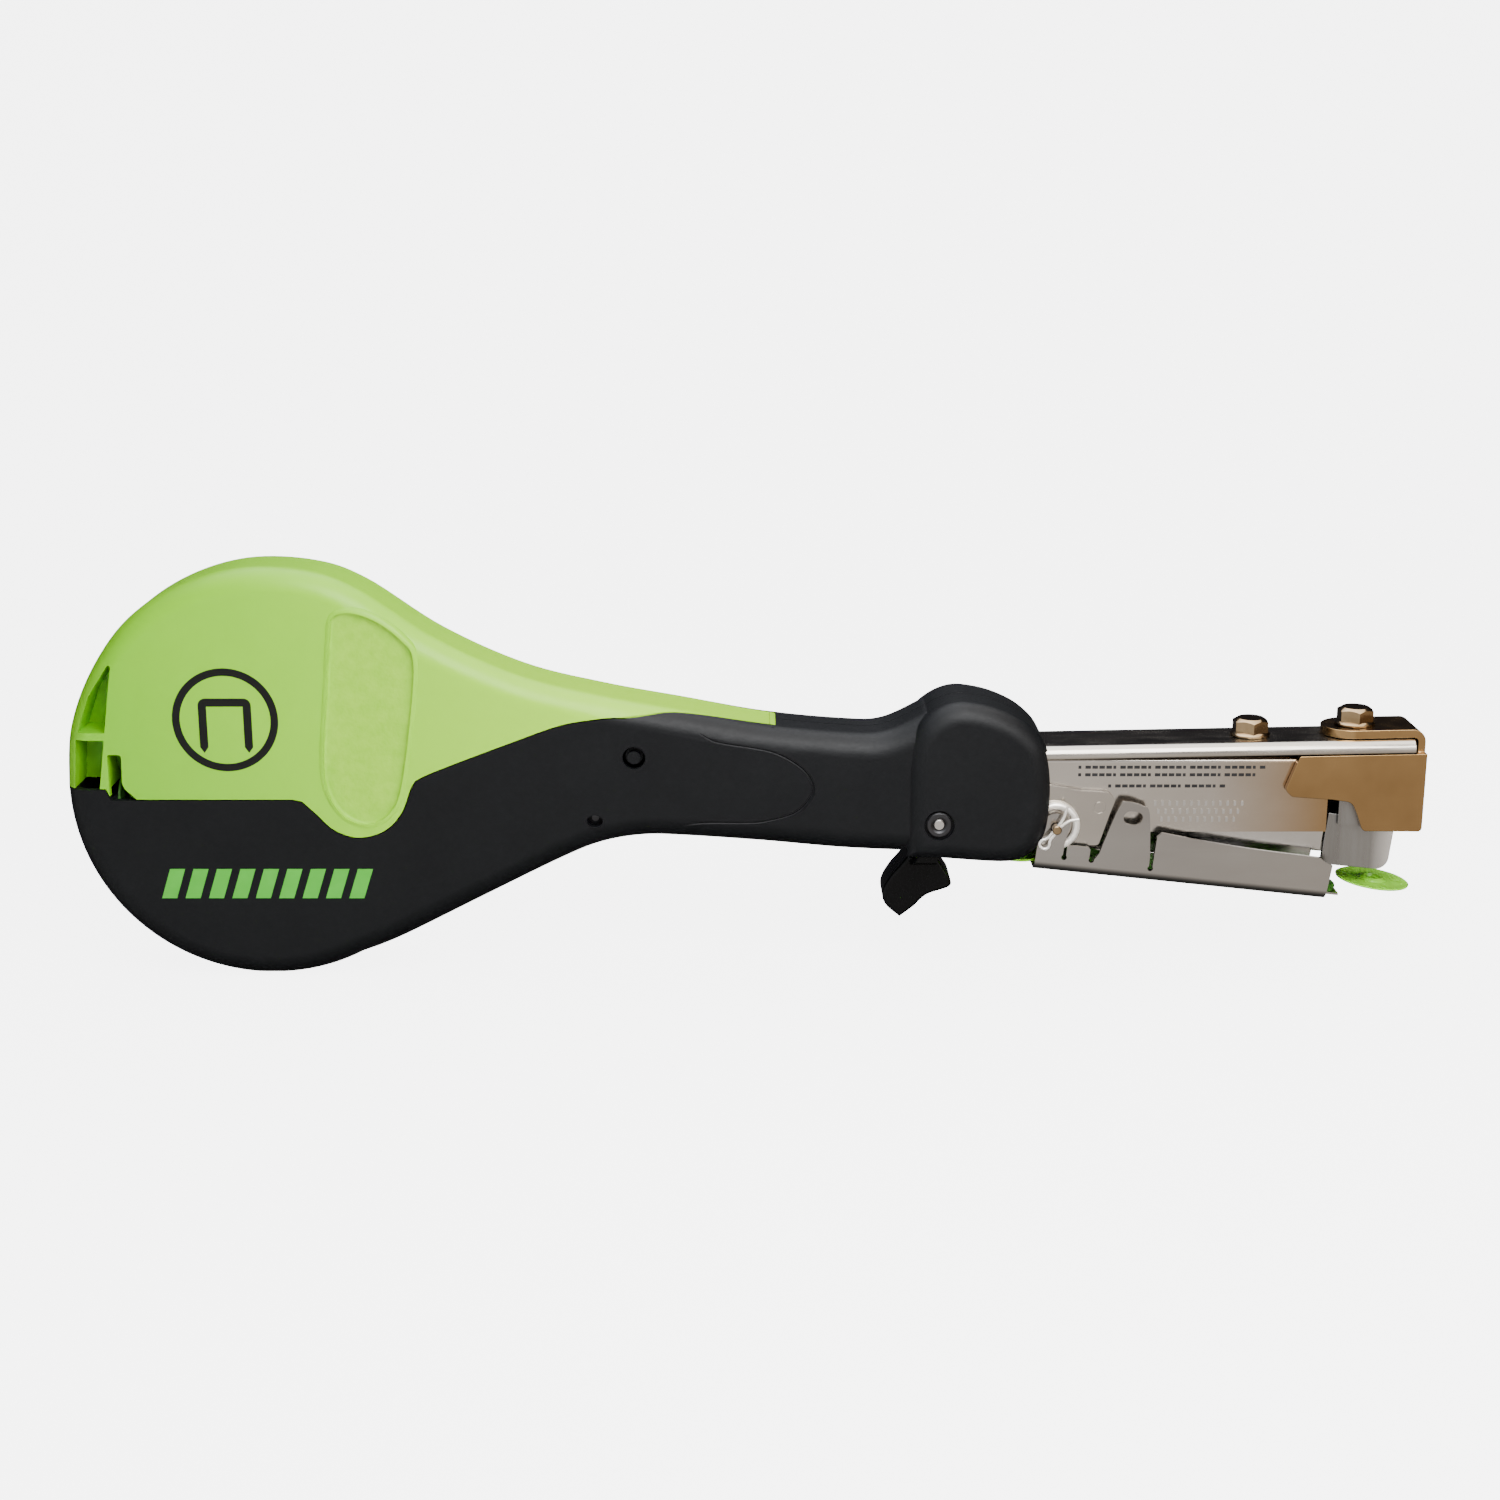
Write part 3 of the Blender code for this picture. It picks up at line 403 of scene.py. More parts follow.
def finish(
    name, colour, other, roughness, metallic=0.0, grain=300, mottle=9.0, stretch=(1, 1, 1), bumps=(), painted_light=None,
    **more,
):
    """A Principled finish whose colour and roughness wander a little, with bumps of (scale, height, stretch).

    The painted-light argument (colour, axis, start, end) paints light or shade: the colour turns into another
    along an axis, between two places in metres.
    """
    material = bpy.data.materials.new(name)
    material.use_nodes = True
    tree = material.node_tree
    shader = tree.nodes["Principled BSDF"]
    shader.inputs["Metallic"].default_value = metallic
    for key, value in more.items():
        shader.inputs[key.replace("_", " ")].default_value = value
    where = node(tree, "ShaderNodeTexCoord")
    mix = node(tree, "ShaderNodeMix", data_type="RGBA")
    mix.inputs[6].default_value = (*colour, 1)
    mix.inputs[7].default_value = (*other, 1)
    tree.links.new(spread(tree, noise(tree, where, mottle, 4, stretch), 0, 1), mix.inputs[0])
    tint = mix.outputs[2]
    # Painted light or shade: the colour turns into another along an axis.
    if painted_light:
        axes = node(tree, "ShaderNodeSeparateXYZ")
        tree.links.new(where.outputs["Object"], axes.inputs[0])
        over = node(tree, "ShaderNodeMix", data_type="RGBA")
        over.inputs[7].default_value = (*painted_light[0], 1)
        tree.links.new(tint, over.inputs[6])
        tree.links.new(spread(tree, axes.outputs[painted_light[1]], 0, 1, *painted_light[2:]), over.inputs[0])
        tint = over.outputs[2]
    tree.links.new(tint, shader.inputs["Base Color"])
    rough = noise(tree, where, grain, 5, stretch)
    tree.links.new(spread(tree, rough, *roughness), shader.inputs["Roughness"])
    last = None
    for scale, height, run in bumps:
        bump = node(tree, "ShaderNodeBump", Strength=1.0, Distance=height * MM)
        tree.links.new(noise(tree, where, scale, 2, run), bump.inputs["Height"])
        if last:
            tree.links.new(last, bump.inputs["Normal"])
        last = bump.outputs["Normal"]
    if last:
        tree.links.new(last, shader.inputs["Normal"])
    return material


EVEN = (1, 1, 1)
ALONG = (0.04, 1, 1)
ROLLED = (0.3, 1, 1)
UPRIGHT = (1, 1, 0.05)

# Painted light: the green turns paler towards the right end (+X), a sheen from a light on the right painted
# into the colour.
GREEN = finish(
    "green_plastic", (0.17, 0.53, 0.0), (0.19, 0.55, 0.0), (0.34, 0.42), grain=700, mottle=30,
    painted_light=((0.36, 0.72, 0.02), "X", -0.225, -0.05),
    bumps=((1500, 0.012, EVEN),), Specular_IOR_Level=0.35,
)
STIPPLE = finish(
    "green_stipple", (0.26, 0.58, 0.005), (0.33, 0.66, 0.02), (0.48, 0.58), grain=900, mottle=300,
    bumps=((1000, 0.12, EVEN), (420, 0.1, EVEN)), Specular_IOR_Level=0.4,
)
BLACK = finish(
    "black_plastic", (0.003, 0.0034, 0.0042), (0.0042, 0.0047, 0.0056), (0.42, 0.52), grain=900, mottle=40,
    bumps=((1700, 0.03, EVEN), (700, 0.02, EVEN)), Specular_IOR_Level=0.19,
)
LEVER_BLACK = finish(
    "lever_plastic", (0.0008, 0.0008, 0.0009), (0.0012, 0.0012, 0.0013), (0.2, 0.3), grain=400, mottle=50,
    bumps=((1300, 0.01, EVEN),), Specular_IOR_Level=0.14,
)
PRINT_BLACK = finish(
    "print_black", (0.002, 0.002, 0.002), (0.003, 0.003, 0.003), (0.35, 0.45), grain=900, mottle=200,
    bumps=((1500, 0.01, EVEN),), Specular_IOR_Level=0.25,
)
PRINT_GREEN = finish(
    "print_green", (0.06, 0.42, 0.025), (0.07, 0.45, 0.03), (0.4, 0.5), grain=900, mottle=200,
    bumps=((1500, 0.01, EVEN),), Specular_IOR_Level=0.3,
)
PLATE = {"metallic": 1.0, "grain": 260, "mottle": 26, "stretch": ROLLED}
PLATE["bumps"] = ((900, 0.003, ALONG), (45, 0.1, EVEN))
NICKEL = finish("nickel_plate", (0.56, 0.525, 0.475), (0.42, 0.385, 0.335), (0.13, 0.26), **PLATE)
# Painted reflection: the nickel turns brown towards the front end (+X), a warm reflection painted into the
# colour.
SIDE_NICKEL = finish(
    "side_nickel", (0.62, 0.585, 0.535), (0.5, 0.46, 0.41), (0.13, 0.26), **PLATE,
    painted_light=((0.4, 0.26, 0.13), "X", 0.16, 0.2),
)
# Painted reflection: the shoe's golden-brown is a warm reflection painted into the nickel's base colour.
NICKEL_PAINTED_REFLECTION = finish(
    "nickel_painted_reflection", (0.44, 0.28, 0.125), (0.33, 0.2, 0.085), (0.1, 0.22), metallic=1.0, grain=200, mottle=32,
    bumps=((800, 0.003, ALONG), (38, 0.08, EVEN)),
)
RAIL_STEEL = finish(
    "rail_steel", (0.45, 0.43, 0.4), (0.34, 0.32, 0.3), (0.16, 0.26), metallic=1.0, grain=300, mottle=30,
    stretch=ROLLED, bumps=((1000, 0.005, ALONG), (50, 0.05, EVEN)),
)
# Painted highlight: the steel turns pale at the nose's front end (+X), a highlight painted into the colour.
GROUND = finish(
    "ground_steel", (0.33, 0.325, 0.315), (0.25, 0.245, 0.235), (0.24, 0.36), metallic=1.0, grain=500,
    mottle=90, stretch=UPRIGHT, bumps=((1400, 0.02, UPRIGHT),), painted_light=((0.85, 0.84, 0.82), "X", 0.217, 0.2235),
)
BRIGHT = finish(
    "bright_steel", (0.66, 0.64, 0.61), (0.56, 0.54, 0.51), (0.14, 0.26), metallic=1.0, grain=400, mottle=80,
    bumps=((1200, 0.004, ALONG),),
)
RING = finish(
    "ring_steel", (0.95, 0.92, 0.86), (0.86, 0.81, 0.74), (0.3, 0.4), metallic=0.6, grain=300, mottle=120,
    bumps=((700, 0.006, EVEN),),
)
ZINC = finish(
    "yellow_zinc", (0.4, 0.29, 0.17), (0.28, 0.19, 0.1), (0.08, 0.16), metallic=1.0, grain=300, mottle=160,
    bumps=((500, 0.01, EVEN),),
)
DARK = finish(
    "dark_steel", (0.07, 0.07, 0.073), (0.045, 0.045, 0.048), (0.35, 0.5), metallic=1.0, grain=500,
    mottle=120, bumps=((900, 0.01, EVEN),),
)
CAP = finish(
    "green_cap", (0.3, 0.78, 0.03), (0.34, 0.82, 0.05), (0.2, 0.3), grain=400, mottle=60,
    bumps=((300, 0.01, EVEN),), Transmission_Weight=0.2,
)
# Painted shade: a dark copy of the cap green, for caps that lie in shade in the drum and between the rail's
# walls.
CAP_IN_SHADE = finish(
    "cap_in_painted_shade", (0.03, 0.12, 0.01), (0.05, 0.2, 0.015), (0.25, 0.4), grain=400, mottle=90,
    bumps=((300, 0.02, EVEN),),
)

# ---------------------------------------------------------------- plastic body


def handle_outline():
    """Drum and handle, clockwise from the rear."""
    crown = [(-234.7, -9.5), (-232.6, 10.5), (-224.6, 30.2), (-211.8, 47.6), (-194, 59.8), (-173, 66.2)]
    top = [(-150, 65.4), (-132.3, 59), (-106.6, 42), (-78.4, 29.0), (-50.9, 22.0), (-23.3, 16.9), (4.3, 11.9)]
    ramp = [(32, 9.2), (46, 9.6), (60, 16.2)]
    bottom = [(58, -33.4), (32, -32.2), (4.3, -29.7), (-23.3, -27.8), (-37.1, -27.6), (-50.9, -30.0)]
    drum_side = [(-64.7, -35.6), (-92, -49.4), (-118.8, -63.2), (-130, -68.2)]
    line = smooth(crown + top + ramp, 8) + [(76, 17.2), (76, -33.6)]
    line += smooth(bottom + drum_side)
    return line + [(x, max(z, DRUM_BOTTOM)) for x, z in arc(*DRUM_ARC, -62, -176, 46)]


def cover_outline():
    """The wider housing over the head, clockwise."""
    rear = [(53.6, -22), (53.5, -2), (55.8, 10.2), (61.6, 16.9)]
    top = [(70, 20.5), (79, 19.8), (87.5, 17.1), (95, 12.7), (100.8, 6.0)]
    front = [(103.2, -4), (103.5, -15), (102.3, -25), (98.8, -31.6), (93, -35.5), (85, -36.4), (66, -35.1)]
    return [(53.2, -34.8)] + smooth(rear + top + front)


# The parting line between the green lid and the black handle, and half of the tongue's width
SEAM = [(-260, -9.4), (-220.3, -9.6), (-218.6, -13.3), (-156.5, -13.3)]
LOBE = [(-153.4, -14.0), (-148.6, -18.6), (-142.8, -24.2), (-134.6, -26.9), (-125.4, -24.4), (-119.2, -17.8)]
RISE = [(-115.4, -8.4), (-111.6, -5.2), (-98, 0.4), (-77.6, 8.2), (-67.3, 12.0), (-60, 13.9), (-50, 15.3)]
SEAM += smooth(LOBE + RISE) + [(-46, 15.5), (-36.5, 14.9), (-22, 12.6), (-9.3, 10.5), (5.0, 8.4)]
TONGUE = [(-50, 18.6), (-44, 16.3), (-35.4, 14.8), (-27, 12.3), (-19, 10.9), (-7, 9.5), (5.0, 8.8), (12, 8.8)]
TONGUE = smooth(TONGUE, 4)

# The stippled pad on each side of the lid, the finger pocket at the butt, and the fine line round the grip
GRIP_PAD = [(-140, 50.3), (-134, 52), (-126, 49.4), (-117.5, 43), (-113.4, 35.5), (-115.2, 15), (-119.4, -9.7)]
GRIP_PAD += [(-124, -18.5), (-131.6, -22), (-139.6, -18.5), (-144.5, -9.7), (-145.3, 1), (-143.4, 22)]
GRIP_PAD = smooth(GRIP_PAD + [(-141.6, 41)], 8, closed=True)
POCKET = [(-231.4, -14), (-229.6, 8), (-224.4, 22.6), (-215.4, 36, 0.7), (-222.2, -9), (-222.6, -14)]
GRIP_LINE = [(-21.5, 15.9), (-19.5, 12.4), (-14.4, 8.4), (-9.3, 6.6), (0.9, 5.0), (9.4, 2.9), (17.9, -2.4)]
GRIP_LINE += [(21.7, -8.8), (19.7, -14.1), (14.6, -18.4), (4.3, -21.2), (-4.3, -21.6), (-16.3, -21.6)]
GRIP_LINE = smooth(GRIP_LINE + [(-23.2, -22.7)])


def body_shell():
    """The whole plastic body and its hollow, before they are parted."""
    inner = HALF_WIDTH - WALL
    outer = slab("outer_form", handle_outline(), -HALF_WIDTH, HALF_WIDTH, edge=EDGE_RADIUS)
    cover = slab("cover_form", cover_outline(), -COVER_HALF_WIDTH, COVER_HALF_WIDTH, edge=COVER_EDGE_RADIUS)
    room = slab("inner_form", handle_outline(), -inner, inner, edge=EDGE_RADIUS - WALL, steps=2, shrink=WALL)
    inner = COVER_HALF_WIDTH - WALL
    edge = COVER_EDGE_RADIUS - WALL
    head_room = slab("cover_hollow", cover_outline(), -inner, inner, edge=edge, steps=2, shrink=WALL)
    return join(outer, cover), join(room, head_room)


def shoulder(side, shrink):
    """The handle's top beside the tongue, as a block that stands on the seam."""
    outline = [(x, side * half) for x, half in TONGUE] + [(12, side * 30), (TONGUE[0][0], side * 30)]
    return slab("shoulder", outline, 4, 60, axis="z", shrink=shrink)


def region(above):
    """A block that holds all that is above or below the seam; the lid's tip is round about its hinge."""
    if above:
        line = [(-260, 90), (LID_HINGE[0], 90), (LID_HINGE[0], 8.0)] + SEAM[::-1]
        block = join(slab("region", line, -40, 40, shrink=SEAM_GAP), rod("tip", 2.5, LID_HINGE, -40, 40))
        return cut(block, shoulder(-1, -SEAM_GAP), shoulder(1, -SEAM_GAP))
    line = SEAM + [(LID_HINGE[0] - 1.0, 8.2), (LID_HINGE[0] - 1.0, 60), (120, 60), (120, -100), (-260, -100)]
    block = cut(slab("region", line, -40, 40, shrink=SEAM_GAP), rod("tip_room", 2.75, LID_HINGE, -40, 40))
    return join(block, shoulder(-1, SEAM_GAP), shoulder(1, SEAM_GAP))


def drum_lid(outer, room):
    """The green lid, with its hinge knuckle, a stippled pad on each side and a finger pocket."""
    lid = copy_of("lid_shell", outer)
    line = [(-250, -30), (-250, 42), (-213, 42), (-213, 35), (-219.8, -9), (-220.2, -30)]
    cut(lid, cut(copy_of("lid_hollow", room), slab("pocket_block", line, -40, 40)))
    keep(lid, region(above=True))
    join(lid, rod("knuckle", KNUCKLE_RADIUS, LID_HINGE, -TIP_HALF + 0.1, TIP_HALF - 0.1))
    cut(lid, rod("knuckle_bore", LID_BORE, LID_HINGE, -14.2, 14.2))
    for side in (-1, 1):
        rim = [(x, side * (HALF_WIDTH - 1.4), z) for x, z in GRIP_PAD]
        join(lid, wire("pad_rim", rim, 2.0, resolution=8, cyclic=True))
    for side in (-1, 1):
        pad = slab("grip_pad", GRIP_PAD, *span(side, HALF_WIDTH - 1.3, 20), edge=1.1, steps=5)
        pad.data.materials.append(STIPPLE)
        cut(lid, pad)
    window = [(-219, -20), (-219, 2.7, 0.6), (-214.2, 2.7, 1.0), (-214.6, -8.6, 5)]
    cut(lid, slab("window", rounded(window + [(-209.2, -13.7), (-209, -20)]), -40, 40))
    rib = slab("pocket_rib", box(-240, -210, 7.7, 10.3), -40, 40)
    web = slab("pocket_web", box(-240, -205, -40, 60), -1.3, 1.3)
    cut(lid, cut(slab("pocket", rounded(POCKET), *THROUGH), rib, web))
    crease(lid)
    return dress(lid, "lid", GREEN, "green_plastic", "drum_lid")


def housing_half(name, outer, room, side):
    """One half of the black casing, with its bosses, holes, recesses and the fine line round the grip."""
    half = copy_of(name, outer)
    cut(half, copy_of("room", room))
    bosses = [rod("boss", 3.0, spot, *span(side, SPLIT_GAP, HALF_WIDTH - WALL / 2)) for spot in SCREWS]
    anchor_boss = rod("anchor_boss", 4.2, ANCHOR_PIN, *span(side, 13.6, COVER_HALF_WIDTH - WALL / 2))
    join(half, *bosses, anchor_boss)
    join(half, rod("pin_boss", KNUCKLE_RADIUS, LID_HINGE, *span(side, TIP_HALF, 11.4)))
    keep(half, region(above=False))
    keep(half, slab("half_space", box(-260, 120, -100, 100), *span(side, SPLIT_GAP, 40)))
    cut(half, rod("lid_seat", KNUCKLE_RADIUS + 0.5, LID_HINGE, -TIP_HALF - 0.4, TIP_HALF + 0.4))
    cut(half, rod("lid_pin_hole", LID_BORE, LID_HINGE, -11.1, 11.1, sides=24))
    cut(half, slab("front_opening", box(86, 115, -50, 3.4), -FRONT_OPENING, FRONT_OPENING))
    cut(half, slab("frame_opening", box(86, 115, 3.0, 4.9), -FRAME_HALF - 0.5, FRAME_HALF + 0.5))
    cut(half, slab("bottom_opening", box(52.5, 110, -50, -31), -FRONT_OPENING, FRONT_OPENING))
    cut(half, rod("lever_hole", LEVER_HOLE, LEVER_PIVOT, *THROUGH))
    cut(half, rod("lever_recess", 5.25, LEVER_PIVOT, *span(side, 17.8, 30)))
    cut(half, rod("anchor_hole", ANCHOR_HOLE, ANCHOR_PIN, -16.7, 16.7))
    if side > 0:
        cut(half, *[rod("head_recess", 3.1, spot, 14.4, 30) for spot in SCREWS])
    else:
        ring = rod("boss_recess", 3.9, SCREWS[0], -30, -13.6)
        cut(half, cut(ring, rod("boss_post", 2.2, SCREWS[0], -16.4, -10)))
        oval = [(x * 1.3 + SCREWS[1][0], z + SCREWS[1][1]) for x, z in arc(0, 0, 2.15, 360, 10, 35)]
        cut(half, slab("oval_recess", oval, -30, -12.0))
    line = [(x, side * HALF_WIDTH, z) for x, z in GRIP_LINE]
    cut(half, wire("grip_line", line, 0.55, resolution=2))
    crease(half)
    return dress(half, "handle", BLACK, "black_plastic", f"housing_{'near' if side < 0 else 'far'}")


def release_lever():
    """Two arms on the pivot bolt that narrow down to a curved thumb pad."""
    rear = [(55.1, -36.0), (52.7, -39.2), (48.9, -43.9), (46.4, -49.2), (47.4, -54.0), (52.5, -58.6)]
    front = [(57.5, -54.7), (61.9, -50.5), (69.6, -47.6), (70.0, -44.6), (67.8, -40.9), (64.7, -36.0)]
    arms = arc(*LEVER_PIVOT, 5, 190, -10, 24) + [(65.0, -33.0), (64.6, -38.4), (55.6, -38.4), (59.2, -33.0)]
    lever = slab("lever_body", arms, -LEVER_ARMS[1], LEVER_ARMS[1])
    cut(lever, slab("strip_room", box(40, 80, -35.4, 0), -LEVER_ARMS[0], LEVER_ARMS[0]))
    for side in (-1, 1):
        taper = [(side * y, z) for y, z in ((16.2, -36.0), (30, -36.0), (30, -60), (6, -60), (6, -40.4))]
        cut(lever, slab("taper", taper, 40, 80, axis="x"))
    pad = smooth(rear, 5) + smooth(front, 5)
    join(lever, slab("pad", pad, -PAD_HALF, PAD_HALF, edge=1.2, steps=4))
    cut(lever, rod("lever_hole", LEVER_HOLE, LEVER_PIVOT, *THROUGH))
    ease(lever, 0.4, 3)
    return dress(lever, "lever", LEVER_BLACK, "black_plastic", "release_lever")


# ---------------------------------------------------------------- caps


def strip_mesh(name, count, bend, thickness=0.8):
    """A row of round dished caps joined by webs; bend maps (along, across, up) to a place in the drawing."""
    rings = ((2.2, 0.0), (3.6, 0.1), (4.6, -0.5), (9.5, -0.5), (11.6, -0.2), (CAP_RADIUS, 0.0))
    sides = 28
    turn = [(math.cos(2 * math.pi * k / sides), math.sin(2 * math.pi * k / sides)) for k in range(sides)]
    work = bmesh.new()

    def vertex(along, across, up):
        return work.verts.new(Vector(bend(along, across, up)) * MM)

    for i in range(count):
        middle = CAP_PITCH * i
        rims = []
        for up in (thickness / 2, -thickness / 2):
            hub = vertex(middle, 0, up)
            loops = [[vertex(middle + r * c, r * s, up + lift) for c, s in turn] for r, lift in rings]
            for k in range(sides):
                following = (k + 1) % sides
                work.faces.new((hub, loops[0][k], loops[0][following]))
                for inner, outer in zip(loops, loops[1:]):
                    work.faces.new((inner[k], outer[k], outer[following], inner[following]))
            rims.append(loops[-1])
        for k in range(sides):
            following = (k + 1) % sides
            work.faces.new((rims[0][k], rims[1][k], rims[1][following], rims[0][following]))
        if i < count - 1:
            plan = ((12.0, -3.5), (12.0, 3.5), (CAP_PITCH - 12.0, 3.5), (CAP_PITCH - 12.0, -3.5))
            top, low = ([vertex(middle + along, across, up) for along, across in plan] for up in (0.3, -0.3))
            work.faces.new(top)
            work.faces.new(low[::-1])
            for a, b in ((0, 1), (1, 2), (2, 3), (3, 0)):
                work.faces.new((top[a], top[b], low[b], low[a]))
    bmesh.ops.recalc_face_normals(work, faces=work.faces)
    mesh = bpy.data.meshes.new(name)
    work.to_mesh(mesh)
    work.free()
    return mesh


def wound_roll():
    """The strip wound on its tube, from the outside in."""
    pitch = 2.6
    outer = COIL_RADIUS + 0.2

    def bend(along, across, up):
        grow = pitch / (2 * math.pi)
        turn = (outer - math.sqrt(max(outer**2 - 2 * grow * along, (COIL_BORE + 1.0) ** 2))) / grow
        radius = outer - grow * turn + up
        angle = math.radians(-90) - turn
        return COIL_CENTRE[0] + radius * math.cos(angle), across, COIL_CENTRE[1] + radius * math.sin(angle)

    length = (outer**2 - (COIL_BORE + 2.0) ** 2) * math.pi / pitch
    mesh = strip_mesh("cap_roll", int(length / CAP_PITCH), bend)
    mesh.transform(ROW)
    # The wound caps get the dark copy of the cap green: painted shade.
    return dress(add("cap_roll", mesh), "roll", CAP_IN_SHADE, "green_cap", "cap_coil")


def strip_path():
    """The middle line of the strip through the handle, from the foot of the roll to the rail."""
    leave = arc(*COIL_CENTRE, COIL_RADIUS + 2.2, -112, -78, 4)
    along = [(-132, -62.2), (-118.8, -57.4), (-92, -43.9), (-64.7, -29.9), (-52.5, -25.2), (-37.1, -22.3)]
    ahead = [(-23.3, -22.5), (4.3, -24.4), (32, -26.9), (50, -27.8), (60, -28.9), (72, -32.0), (84, -34.9)]
    return smooth(leave + along + ahead + [(94, -36.5), (103.0, -37.1)], 8)


def handle_strip():
    """The strip of caps through the handle, laid out along its path."""
    line = [Vector(point) for point in strip_path()]
    lengths = [0.0]
    for a, b in zip(line, line[1:]):
        lengths.append(lengths[-1] + (b - a).length)
    count = int((lengths[-1] - 2 * CAP_RADIUS) / CAP_PITCH) + 1
    first = lengths[-1] - CAP_RADIUS - CAP_PITCH * (count - 1)

    def bend(along, across, up):
        reach = min(max(along + first, 0.0), lengths[-1] - 0.001)
        i = next(k for k in range(len(line) - 1) if lengths[k + 1] > reach)
        run = (line[i + 1] - line[i]).normalized()
        spot = line[i] + run * (reach - lengths[i]) + Vector((-run.y, run.x)) * up
        return spot.x, across, spot.y

    mesh = strip_mesh("strip_in_handle", count, bend)
    mesh.transform(ROW)
    return dress(add("strip_in_handle", mesh), "handle", CAP, "green_cap", "cap_strip_handle")


def rail_strip():
    """The last caps of the strip, flat on the rail."""
    mesh = strip_mesh("strip_on_rail", 4, lambda along, across, up: (12.8 + along, across, -14.2 + up))
    mesh.transform(RAIL)
    # The caps on the rail get the dark copy of the cap green: painted shade.
    return dress(add("strip_on_rail", mesh), "magazine", CAP_IN_SHADE, "green_cap", "cap_strip_rail")


def nose_cap():
    """The cap under the nose: a thin dish with a raised ring and a rolled rim."""
    top = [(0.0, -10.9), (2.6, -10.9), (3.0, -10.0), (3.9, -9.8), (4.3, -10.2), (4.8, -10.9), (8.5, -11.0)]
    rim = [(11.4, -10.9), (12.3, -10.65), (12.7, -10.9), (12.5, -11.3), (11.4, -11.45)]
    under = [(8.5, -11.6), (4.6, -11.55), (3.9, -11.0), (3.0, -11.3), (0.0, -11.5)]
    cap = turned("nose_cap", top + rim + under, (116, 0), axis="z", place=RAIL, sides=96)
    return dress(cap, "magazine", CAP, "green_cap", "front_cap")


# ---------------------------------------------------------------- steel head


def hammer_frame():
    """The outer channel of bent sheet, open below."""
    section = channel(FRAME_HALF, -2.9, 1.4, FRAME_SHEET, 3.4)
    body = slab("frame_sheet", section, -40.5, 125.6, axis="x", place=FRAME)
    cut(body, *[rod("bolt_hole", BOLT_HOLE, (x, 0), -20, 20, axis="z") for x, _ in HEAD_BOLTS.values()])
    return dress(ease(body, 0.3, 3), "handle", NICKEL, "nickel_steel", "hammer_frame")


def side_channel():
    """The inner channel, whose sides show below the frame."""
    body = slab("inner_channel", channel(CHANNEL_HALF, -26.6, 0.3, 1.2, 2.2), 60, 199.5, axis="x")
    cut(body, slab("striker_room", box(163, 210, -6, 6), -8.7, 8.7))
    lever_hole = rod("lever_hole", LEVER_HOLE, LEVER_PIVOT, *THROUGH)
    cut(body, lever_hole, rod("anchor_hole", ANCHOR_HOLE, ANCHOR_PIN, *THROUGH))
    cut(body, rod("pivot_hole", PIVOT_HOLE, PIVOT, *THROUGH))
    return dress(ease(body, 0.25, 3), "handle", SIDE_NICKEL, "nickel_steel", "side_channel")


def pivot_cheek(side):
    """The bearing plate on one side of the magazine's pivot, and the ring that keeps it there."""
    word = "near" if side < 0 else "far"
    corners = [(74, -8), (103, -9.2, 8), (114.5, -11.4, 6), (123.2, -11.8, 2.2), (126, -14.4, 2)]
    corners += [(124.4, -19, 3), (120.6, -31, 1.5), (74, -30)]
    cheek = slab(f"cheek_{word}", rounded(corners), *span(side, 10.3, 12.0))
    join(cheek, rod("pivot_boss", 4.9, PIVOT, *span(side, 11.8, 13.3)))
    spot = (120.4, -17.1)
    dimple = rod("dimple", 2.3, spot, *span(side, 11.75, 14))
    cut(cheek, cut(dimple, rod("dimple_core", 1.7, spot, -20, 20)))
    pivot_hole = rod("pivot_hole", PIVOT_HOLE, PIVOT, *THROUGH)
    cut(cheek, pivot_hole, rod("anchor_hole", ANCHOR_HOLE, ANCHOR_PIN, *THROUGH))
    ease(cheek, 0.3, 3)
    dress(cheek, "handle", NICKEL, "nickel_steel", f"pivot_cheek_{word}")
    line = [(x, side * 13.1, z) for x, z in arc(*PIVOT, 7.25, 205, -75, 60)]
    ring = wire(f"ring_{word}", line, 1.3, resolution=8)
    dress(ring, "handle", RING, "nickel_steel", f"retaining_ring_{word}")


def front_shoe():
    """The thick folded piece round the nose, with a strap back over the front bolt."""
    top = [(188.4, 1.1, 1.0), (231.9, 2.0), (231.9, -25.8, 1.5), (211.4, -25.6, 2.0), (209.2, -19.5, 2.6)]
    lower = [(207.2, -15.3, 3.5), (200.5, -14.3, 4), (186.4, -13.3, 2.0), (184.0, -10.9, 1.8)]
    shoe = slab("shoe", rounded(top + lower), -FRAME_HALF, FRAME_HALF)
    inner = FRAME_HALF - SHOE_SHEET
    cut(shoe, slab("shoe_room", box(170, 231.9 - SHOE_SHEET, -40, 20), -inner, inner))
    rise, corner, strap = frame_top(198) + 0.3, frame_top(231.9) + 0.3, 2.9
    fold = [(198, rise), (198, rise + strap), (231.9, corner + strap, 4.4), (231.9, -4)]
    fold += [(231.9 - SHOE_SHEET, -4), (231.9 - SHOE_SHEET, corner, 1.6)]
    plan = slab("plan", arc(208, 0, 10, 90, 270, 32) + [(240, -10), (240, 10)], 0, 20, axis="z")
    join(shoe, keep(slab("strap", rounded(fold, 10), -12, 12), plan))
    cut(shoe, rod("bolt_hole", BOLT_HOLE, (HEAD_BOLTS["head_bolt_front"][0], 0), 0, 30, axis="z"))
    # The shoe's brown nickel is a painted reflection.
    return dress(ease(shoe, 0.7, 4), "handle", NICKEL_PAINTED_REFLECTION, "nickel_steel", "front_shoe")


